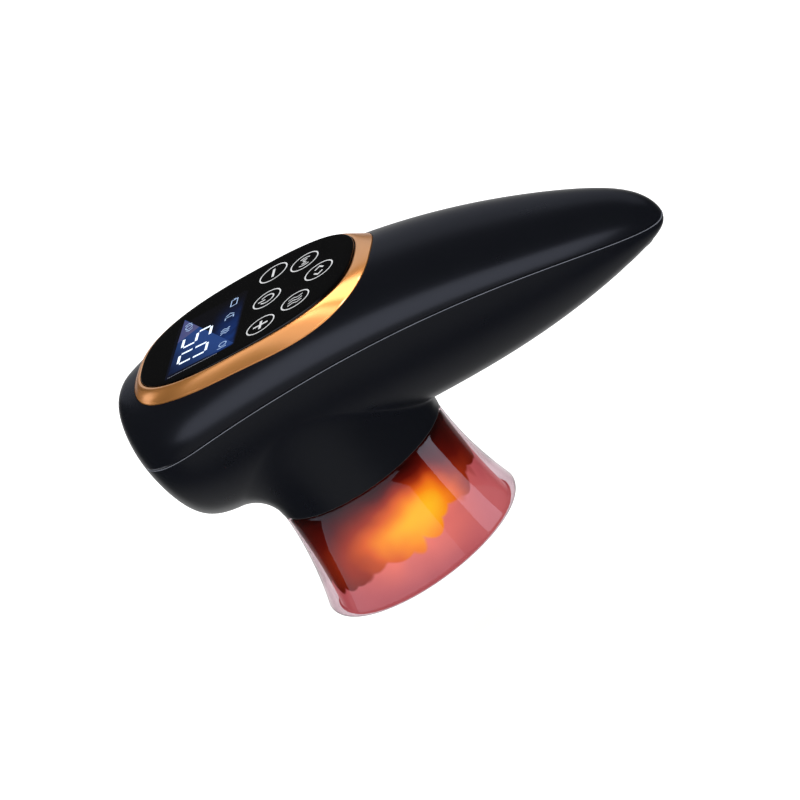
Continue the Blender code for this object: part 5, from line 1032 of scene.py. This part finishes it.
class MASSAGER_OT_ring(Operator):
    """Copper-gold ring: for each direction a band from the outer edge up to a flat lip, rounded at both edges"""

    bl_idname = "massager.ring"
    bl_label = "Gold ring"

    def execute(self, context):
        look = context.scene.massager_ring
        e = look.edge_round
        _, angle = fine_columns()
        outer, inner = ring_reach(angle, -RING_GAP), panel_reach(angle, RING_GAP)
        crest = panel_reach(angle, RING_GAP + look.lip)
        foot = ray_row(outer, angle, crown_surface)[:, 2] + RING_PROUD * 0.4
        rows = [ray_row(outer, angle, ring_seat(outer, angle) + GAP), ray_row(outer, angle, foot - e * 0.6)]
        rows += [ray_row(outer - e * (1 - c), angle, foot - e * 0.6 + e * s) for s, c in quarter(3)[1:]]
        start, low = outer - e, foot + e * 0.4
        towards_handle = np.clip(np.cos(angle), 0, 1)
        bulge = look.bulge - (look.bulge - RING_HANDLE_BULGE) * towards_handle
        top = panel_level(crest * np.cos(angle)) - RING_BELOW_PANEL - RING_HANDLE_DROP * towards_handle
        for t in np.linspace(0, 1, RING_ROWS + 1)[1:]:
            height = low + (top - low) * (1 - (1 - t) ** bulge)
            rows.append(ray_row(start + (crest - start) * t, angle, height))
        rows += [ray_row(inner + e * (1 - s), angle, top - e * (1 - c)) for s, c in quarter(4)]
        rows.append(ray_row(inner, angle, ring_seat(inner, angle) + GAP))
        put("gold_ring", loft(rows, "join"), "copper_gold_ring", ("bezel_ring",), smooth=50)
        return {"FINISHED"}


class MASSAGER_OT_panel(Operator):
    """Touch panel: one black glass plate with a ground edge"""

    bl_idname = "massager.panel"
    bl_label = "Touch panel"

    def execute(self, context):
        _, angle = fine_columns()
        rows = [ray_row(panel_reach(angle), angle, PANEL_BOTTOM)]
        for s, c in quarter(5):
            row = ray_row(panel_reach(angle, -PANEL_EDGE * (1 - c)), angle, 0.0)
            row[:, 2] = panel_level(row[:, 0]) - PANEL_EDGE * (1 - s)
            rows.append(row)
        rows += [ray_row(panel_reach(angle) * share, angle, lambda x, y: panel_level(x)) for share in (0.9, 0.6, 0.3)]
        put("panel_glass_plate", loft(rows), "black_panel", ("touch_panel",))
        return {"FINISHED"}


# Marks on the panel. Signs are read from the handle: their points are (right, up) in millimetres round a centre.


def arc(centre, radius, start, end, steps=24):
    """Points along an arc between two directions in degrees."""
    a = np.radians(np.linspace(start, end, steps + 1))
    return np.c_[centre[0] + radius * np.cos(a), centre[1] + radius * np.sin(a)]


def strokes(centre, paths, width, low, high):
    """Bands along the paths of a sign, where right is +Y and up is -X; a path that ends at its start is closed."""
    made = []
    for path in paths:
        closed = tuple(path[0]) == tuple(path[-1])
        right, up = np.asarray(path[:-1] if closed else path, float).T / 1000
        made.append(stroke(np.c_[centre[0] - up, centre[1] + right], width, low, high, closed))
    return made


def waves(shift, reach, steps, swing, rate):
    """Three upright wavy paths: across each is the swing times the sine of the rate times the height."""
    up = np.linspace(-reach, reach, steps)
    return [np.c_[right + swing * np.sin(up * rate), up] for right in (-shift, 0, shift)]


# The display's plates and its line as (x, y) in millimetres
FIELD = ((-28.0, -20.9), (-2.6, -20.9), (-2.6, 14.6), (-3.8, 15.8), (-26.8, 15.8), (-28.0, 14.6))
WEDGE = ((-27.2, -18.6), (-3.2, -20.2), (-26.3, 18.6))
CAP = ((-26.75, 3.0), (-19.4, 7.0), (-26.3, 18.2))
LINE = ((-27.0, -20.3), (-9.0, -21.4))

# The digits: ends of the seven segments in a unit square, those lit for each number, places and size
SEGMENTS = {
    "a": ((0, 1), (1, 1)),
    "b": ((1, 1), (1, 0.5)),
    "c": ((1, 0.5), (1, 0)),
    "d": ((0, 0), (1, 0)),
    "e": ((0, 0.5), (0, 0)),
    "f": ((0, 1), (0, 0.5)),
    "g": ((0, 0.5), (1, 0.5)),
}
LIT = ("abcdef", "bc", "abged", "abgcd", "fgbc", "afgcd", "afgedc", "abc", "abcdefg", "abcdfg")
DIGITS_RIGHT = (-14.9, -3.9)
DIGITS_AT = (-0.0141, 0)
DIGIT_SIZE = (6.6, 10.2)
DIGIT_SLANT = 0.1
SEGMENT_SHARE = 0.78

# The display's small signs: their centres, the radius of an open circle or none, and their paths
SIGNS = (
    ((-7.6, -16.6), 1.3, [((-2.3, -1.5), (-2.3, 1.6))]),
    ((-8.0, -7.4), 0, waves(1.3, 1.6, 13, 0.35, 3.2)),
    ((-7.6, 2.2), 0, [((-1.7, -1.5), (-0.3, -1.5), (-0.3, 1.5), (-1.7, 1.5)), ((0.7, -1.5), (2.0, 0.0), (0.7, 1.5))]),
    ((-7.2, 11.2), 0, [((-2, -1.1), (2, -1.1), (2, 1.1), (-2, 1.1), (-2, -1.1)), ((2.6, -0.4), (2.6, 0.4))]),
    ((-23.7, 11.0), 1.2, [((-1.9, -1.6), (-2.8, -0.4), (-1.9, 0.8)), ((1.9, -0.8), (2.8, 0.4), (1.9, 1.6))]),
)


class MASSAGER_OT_display(Operator):
    """Display: a dark field, two lit wedges, a fine line, two seven-segment digits and small plain signs"""

    bl_idname = "massager.display"
    bl_label = "Display"

    def execute(self, context):
        look = context.scene.massager_display
        low, high = PANEL_TOP - MARK_SUNK, PANEL_TOP + 4 * MARK_LAYER

        def plate(name, solids, made):
            put(name, on_panel(merged(solids)), "blue_display", (), [made], smooth=30)

        def area(points, layer):
            return [slab(np.array(points) / 1000, low, PANEL_TOP + layer * MARK_LAYER)]

        plate("display_field", area(FIELD, 1), field_finish(look))
        blue = wedge_finish("display_blue", (0.001, 0.004, 0.022), (0.017, 0.052, 0.2), math.radians(30))
        plate("display_wedge", area(WEDGE, 2), blue)
        plate("display_cap", area(CAP, 3), wedge_finish("display_pale", (0.04, 0.06, 0.2), (0.11, 0.1, 0.2), 0.0))
        line = stroke(np.array(LINE) / 1000, LINE_STROKE, low, PANEL_TOP + PRINT_PROUD)
        plate("display_line", [line], lit("display_line_light", (0.2, 0.21, 0.25), 0.35))
        digits, signs = [], []
        for value, right in zip(divmod(look.digits, 10), DIGITS_RIGHT):
            for key in LIT[value]:
                ends = np.array(SEGMENTS[key], float)
                middle = ends.mean(0)
                ends = (middle + (ends - middle) * SEGMENT_SHARE) * DIGIT_SIZE
                ends[:, 0] += right + ends[:, 1] * DIGIT_SLANT
                digits += strokes(DIGITS_AT, [ends], DIGIT_STROKE, low, high)
        plate("display_digits", digits, lit("digit_light", tuple(look.digit_colour), 1.0))
        for (x, y), radius, paths in SIGNS:
            centre = (x / 1000, y / 1000)
            if radius:
                signs.append(stroke(arc(centre, radius / 1000, 0, 345), SIGN_STROKE, low, high))
            signs += strokes(centre, paths, SIGN_STROKE, low, high)
        plate("display_signs", signs, lit("sign_light", (0.3, 0.42, 0.62), 0.8))
        return {"FINISHED"}


class MASSAGER_OT_keys(Operator):
    """Printed keys: six circles with plain signs, each a thin band carried along its path"""

    bl_idname = "massager.keys"
    bl_label = "Printed keys"

    def execute(self, context):
        look = context.scene.massager_display
        low, high, width = PANEL_TOP - MARK_SUNK, PANEL_TOP + PRINT_PROUD, look.mark_width
        # The prints stand a little ahead of the touch pads, and drift with the distance behind the first row.
        behind = [max(x - KEY_PLACES[0][0], 0) for x, _ in KEY_PLACES]
        ahead, aside = PRINT_DRIFT
        places = [(x - PRINT_AHEAD - far * ahead, y + far * aside) for (x, y), far in zip(KEY_PLACES, behind)]
        solids = [stroke(arc(at, KEY_CIRCLE, 0, 360, 64)[:-1], width, low, high, True) for at in places]

        def draw(at, paths, wide):
            solids.extend(strokes(at, paths, width * wide, low, high))

        more, power, less, heat, pull, mode = places
        draw(more, (((0, -2.6), (0, -0.45)), ((0, 2.6), (0, 0.45)), ((-2.6, 0), (2.6, 0))), 1.9)
        draw(less, (((-2.6, 0), (2.6, 0)),), 1.9)
        solids.append(stroke(arc(power, KEY_POWER_ARC, 215, 505, 40), width * 1.1, low, high))
        draw(power, (((0, 0.6), (0, 3.2)),), 1.2)
        draw(heat, waves(1.75, 2.5, 21, 0.32, 1.9), 0.8)
        for radius in KEY_PULL_ARCS:
            solids += [stroke(arc(pull, radius, start, start + 80, 16), width, low, high) for start in (50, 230)]
        solids.append(post(KEY_PULL_DOT, low, high, pull, 24))
        draw(mode, [((side * 1.1, -1.5), (side * 2.7, 0), (side * 1.1, 1.5)) for side in (-1, 1)], 1.35)
        print_finish = lit("key_print", tuple(look.mark_colour), 0.3, 0.85)
        put("printed_keys", on_panel(merged(solids)), "black_panel", (), [print_finish], smooth=30)
        return {"FINISHED"}


class MASSAGER_OT_cup(Operator):
    """Glass cup: one revolved wall with clear glass outside and the inner face with a painted glow inside, lip and
    spigot
    """

    bl_idname = "massager.cup"
    bl_label = "Glass cup"

    def execute(self, context):
        look = context.scene.massager_cup
        shoulder = NECK_EDGE - GAP
        start = shoulder - CUP_SHOULDER_ROUND
        throat, bore, neck = (size - CUP_WALL for size in (shoulder, SPIGOT_RADIUS, CUP_SHOULDER_RADIUS))
        lip_inner = CUP_RIM_RADIUS - CUP_LIP_ROUND - CUP_LIP_FLAT - CUP_LIP_INNER_ROUND
        low, top = CUP_LIP_INNER_ROUND, throat - CUP_THROAT_ROUND
        t = np.linspace(0, 1, 30)
        flare = CUP_SHOULDER_RADIUS + (CUP_RIM_RADIUS - CUP_SHOULDER_RADIUS) * t**CUP_FLARE_POWER
        wall_in = neck + (lip_inner - neck) * (1 - t) ** (CUP_FLARE_POWER + 0.3)
        profile = round_corner(CUP_SHOULDER_RADIUS - CUP_SHOULDER_ROUND, start, CUP_SHOULDER_ROUND, 90, 0)
        profile += list(zip(flare, start + (CUP_LIP_ROUND - start) * t))[1:]
        profile += round_corner(CUP_RIM_RADIUS - CUP_LIP_ROUND, CUP_LIP_ROUND, CUP_LIP_ROUND, 0, -90, 12)[1:]
        clear = len(profile)
        profile += round_corner(lip_inner + low, low, low, -90, -180, 8)
        profile += list(zip(wall_in, low + (top - low) * t))[1:]
        profile += round_corner(neck - CUP_THROAT_ROUND, top, CUP_THROAT_ROUND, 0, 90, 6)[1:] + [(bore, throat)]
        # The rows up to here are the inner face, which takes the painted glow of the lamps' light.
        glowing = len(profile)
        end, c = CUP_HIGH.z, SPIGOT_CHAMFER
        profile += [(bore, end - c), (bore + c, end)]
        profile += [(SPIGOT_RADIUS - c, end), (SPIGOT_RADIUS, end - c), (SPIGOT_RADIUS, shoulder)]
        bell = revolved(profile, sides=look.sides, ends="join")
        row = np.arange(len(bell[1])) // look.sides
        put(
            "cup_bell", bell, "amber_cup_glass", ("cup",), [finish("amber_cup_glass"), glass_with_painted_glow(look)], "cup", 50,
            (row >= clear) & (row < glowing),
        ).visible_glossy = False
        return {"FINISHED"}


class MASSAGER_OT_lamp_window(Operator):
    """Lamp window: ribbed red lens round the suction port, revolved; the ribs are a cosine on a sloping face"""

    bl_idname = "massager.lamp_window"
    bl_label = "Lamp window"

    def execute(self, context):
        low, high = (corner.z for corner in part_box("light_window"))
        inner, wall = LENS_RADIUS - LENS_WALL, LENS_WALL
        ribbed = inner * LENS_RIBBED_SHARE
        t = np.linspace(0, 1, 61)
        r = ribbed + (LENS_HOLE - ribbed) * t
        z = low + LENS_EDGE_LIFT * (1 - t) + LENS_RIB_SWING * (np.cos(t * 2 * math.pi * LENS_RIBS) - 1)
        profile = [(LENS_RADIUS, high), (inner, high), (inner, low + wall * 2), (inner * 0.75, low + wall * 1.3)]
        profile += [(LENS_HOLE, low + wall * 1.05), (LENS_HOLE, low + 0.0002)]
        profile += list(zip(r[::-1], np.maximum(z[::-1], low)))[1:]
        profile += round_corner(LENS_RADIUS - LENS_CORNER, low + LENS_EDGE_LIFT + LENS_CORNER, LENS_CORNER, -90, 0)
        put("lamp_lens", revolved(profile, sides=96, ends="join"), "red_window", ("light_window",))
        return {"FINISHED"}


class MASSAGER_OT_underside(Operator):
    """Underside: round soft plugs over the shell screws, each with a rounded face and a shallow dimple"""

    bl_idname = "massager.underside"
    bl_label = "Underside plugs"

    def execute(self, context):
        for name in ("front", "rear"):
            low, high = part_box(f"screw_plug_{name}")
            profile = [(radius, low.z + lift) for radius, lift in PLUG_DIMPLE]
            profile += round_corner(PLUG_RADIUS - PLUG_ROUND, low.z + PLUG_ROUND, PLUG_ROUND, -90, 0)
            profile += [(PLUG_RADIUS, high.z)]
            plug = revolved(profile, ((low.x + high.x) / 2 - AXIS_X, 0))
            put(f"soft_plug_{name}", plug, "grey_rubber", (f"screw_plug_{name}",))
        return {"FINISHED"}


class MASSAGER_OT_inside(Operator):
    """Inside: every CAD node that stays gets the finish of its material slot"""

    bl_idname = "massager.inside"
    bl_label = "Finishes of the inner parts"

    def execute(self, context):
        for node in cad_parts.values():
            for holder in node.material_slots:
                holder.material = finish(holder.material.name.split(".")[0])
        return {"FINISHED"}


class MASSAGER_OT_stage(Operator):
    """Stage: pale floor, studio lights and the camera at the photograph's angle"""

    bl_idname = "massager.stage"
    bl_label = "Stage"

    def execute(self, context):
        look = context.scene.massager_stage
        self.floor(tuple(look.floor_colour))
        self.room(context.scene)
        self.light("overhead", (AXIS_X, -0.3, 1.9), (0, 0, 0.05), (2.2, 2.2), look.key_power, shines="diffuse")
        place, aim = self.round(-79, 0.76, 0.63), (AXIS_X, 0, 0.06)
        self.light("front_softbox", place, aim, (1.7, 0.95), look.front_power, COOL, -41, FRONT_PIECES)
        for name, (turn, reach, height, aim, size, power, colour, piece) in GLOSS_LIGHTS.items():
            self.light(name, self.round(turn, reach, height), (AXIS_X, 0, aim), size, power, colour, only=(piece,))
        self.camera(context.scene)
        return {"FINISHED"}

    def floor(self, colour):
        """A level square that also glows a little, so that it stays pale under the part."""
        made, tree, shader = shader_of("pale_floor", {"Roughness": 0.9, "Specular IOR Level": 0.1})
        tone = dimmed(tree, colour, rise(tree, noise(tree, 3.0, 2.0), 0.3, 0.7, 0.985, 1.0))
        feed(tree, shader, {"Base Color": tone, "Emission Color": tone, "Emission Strength": 0.6})
        mesh = bpy.data.meshes.new("studio_floor")
        corners = [(x * STUDIO_HALF, y * STUDIO_HALF, STUDIO_FLOOR) for x, y in ((-1, -1), (1, -1), (1, 1), (-1, 1))]
        mesh.from_pydata(corners, [], [(0, 1, 2, 3)])
        mesh.materials.append(made)
        floor = bpy.data.objects.new("studio_floor", mesh)
        bpy.context.scene.collection.objects.link(floor)
        floor.visible_glossy = False

    def room(self, scene):
        """A white surrounding, which the gloss sees as dark but for the soft patches."""
        world = bpy.data.worlds.new("studio")
        world.use_nodes = True
        scene.world = world
        tree = world.node_tree
        way = add(tree, "ShaderNodeTexCoord").outputs["Generated"]
        shares = []
        for direction, *limits in ROOM_PATCHES:
            facing = add(tree, "ShaderNodeVectorMath", {0: way, 1: direction}, operation="DOT_PRODUCT")
            shares.append(rise(tree, facing.outputs["Value"], *limits))
        glossy = add(tree, "ShaderNodeLightPath").outputs["Is Glossy Ray"]
        strength = add(tree, "ShaderNodeMix", {0: glossy, 2: 1.0, 3: plus(tree, *shares)}).outputs[0]
        feed(tree, tree.nodes["Background"], {"Color": (1, 1, 1, 1), "Strength": strength})
        scene.view_settings.view_transform = "Standard"

    def round(self, turn, reach, height):
        """A place round the cup's axis at a direction in degrees."""
        a = math.radians(turn)
        return (AXIS_X + reach * math.cos(a), reach * math.sin(a), height)

    def light(self, name, place, aim, size, power, colour=(1, 1, 1), roll=0, only=(), shines="glossy"):
        """A rectangular area light that faces its aim, its first side level before the roll in degrees. It lights
        either the diffuse colours or the gloss, and only the named pieces when some are named."""
        data = bpy.data.lights.new(name, "AREA")
        data.shape = "RECTANGLE"
        data.size, data.size_y = size
        data.energy = power
        data.color = colour
        lamp = bpy.data.objects.new(name, data)
        bpy.context.scene.collection.objects.link(lamp)
        back = (Vector(place) - Vector(aim)).normalized()
        right = Vector((0, 0, 1)).cross(back).normalized()
        up = back.cross(right)
        turn = Matrix((right, up, back)).transposed() @ Matrix.Rotation(math.radians(roll), 3, "Z")
        lamp.matrix_world = Matrix.Translation(place) @ turn.to_4x4()
        lamp.visible_diffuse = shines == "diffuse"
        lamp.visible_glossy = shines == "glossy"
        lamp.visible_transmission = shines == "diffuse"
        lamp.visible_camera = False
        if only:
            lit_pieces = bpy.data.collections.new(f"{name}_lights")
            for piece in only:
                lit_pieces.objects.link(bpy.data.objects[piece])
            lamp.light_linking.receiver_collection = lit_pieces

    def camera(self, scene):
        """Aim, distance, view width and roll from the photograph's fitted camera."""
        ca, sa = math.cos(CAMERA_AZIMUTH), math.sin(CAMERA_AZIMUTH)
        ce, se = math.cos(CAMERA_ELEVATION), math.sin(CAMERA_ELEVATION)
        back, right = Vector((sa * ce, -ca * ce, se)), Vector((ca, sa, 0))
        up = back.cross(right)
        cr, sr = math.cos(CAMERA_ROLL), math.sin(CAMERA_ROLL)
        across_image, up_image = right * cr - up * sr, right * sr + up * cr
        target = Vector(CAMERA_TARGET) + Vector((AXIS_X, 0, 0))
        aim = target - across_image * CAMERA_OFFSET[0] - up_image * CAMERA_OFFSET[1]
        data = bpy.data.cameras.new("photo_camera")
        data.sensor_width = CAMERA_SENSOR
        data.lens = CAMERA_SENSOR * CAMERA_DISTANCE / CAMERA_VIEW_WIDTH
        data.clip_end = 50.0
        camera = bpy.data.objects.new("photo_camera", data)
        scene.collection.objects.link(camera)
        turn = Matrix((across_image, up_image, back)).transposed().to_4x4()
        camera.matrix_world = Matrix.Translation(aim + back * CAMERA_DISTANCE) @ turn
        scene.camera = camera


STEPS = (
    MASSAGER_OT_top_shell,
    MASSAGER_OT_bottom_shell,
    MASSAGER_OT_ring,
    MASSAGER_OT_panel,
    MASSAGER_OT_display,
    MASSAGER_OT_keys,
    MASSAGER_OT_cup,
    MASSAGER_OT_lamp_window,
    MASSAGER_OT_underside,
    MASSAGER_OT_inside,
    MASSAGER_OT_stage,
)
LOOKS = (
    ("massager_shell", ShellLook),
    ("massager_ring", RingLook),
    ("massager_display", DisplayLook),
    ("massager_cup", CupLook),
    ("massager_stage", StageLook),
)


class MASSAGER_PT_panel(Panel):
    bl_idname = "MASSAGER_PT_panel"
    bl_label = "Massager"
    bl_space_type = "VIEW_3D"
    bl_region_type = "UI"
    bl_category = "Massager"

    def draw(self, context):
        for name, look in LOOKS:
            box = self.layout.box()
            for key in look.__annotations__:
                box.prop(getattr(context.scene, name), key)
        for step in STEPS:
            self.layout.operator(step.bl_idname)


def register():
    for name, look in LOOKS:
        bpy.utils.register_class(look)
        setattr(bpy.types.Scene, name, PointerProperty(type=look))
    for kind in (*STEPS, MASSAGER_PT_panel):
        bpy.utils.register_class(kind)


def unregister():
    for kind in (MASSAGER_PT_panel, *reversed(STEPS)):
        bpy.utils.unregister_class(kind)
    for name, look in reversed(LOOKS):
        delattr(bpy.types.Scene, name)
        bpy.utils.unregister_class(look)


def main():
    register()
    for step in STEPS:
        group, call = step.bl_idname.split(".")
        getattr(getattr(bpy.ops, group), call)()


if __name__ == "__main__":
    main()
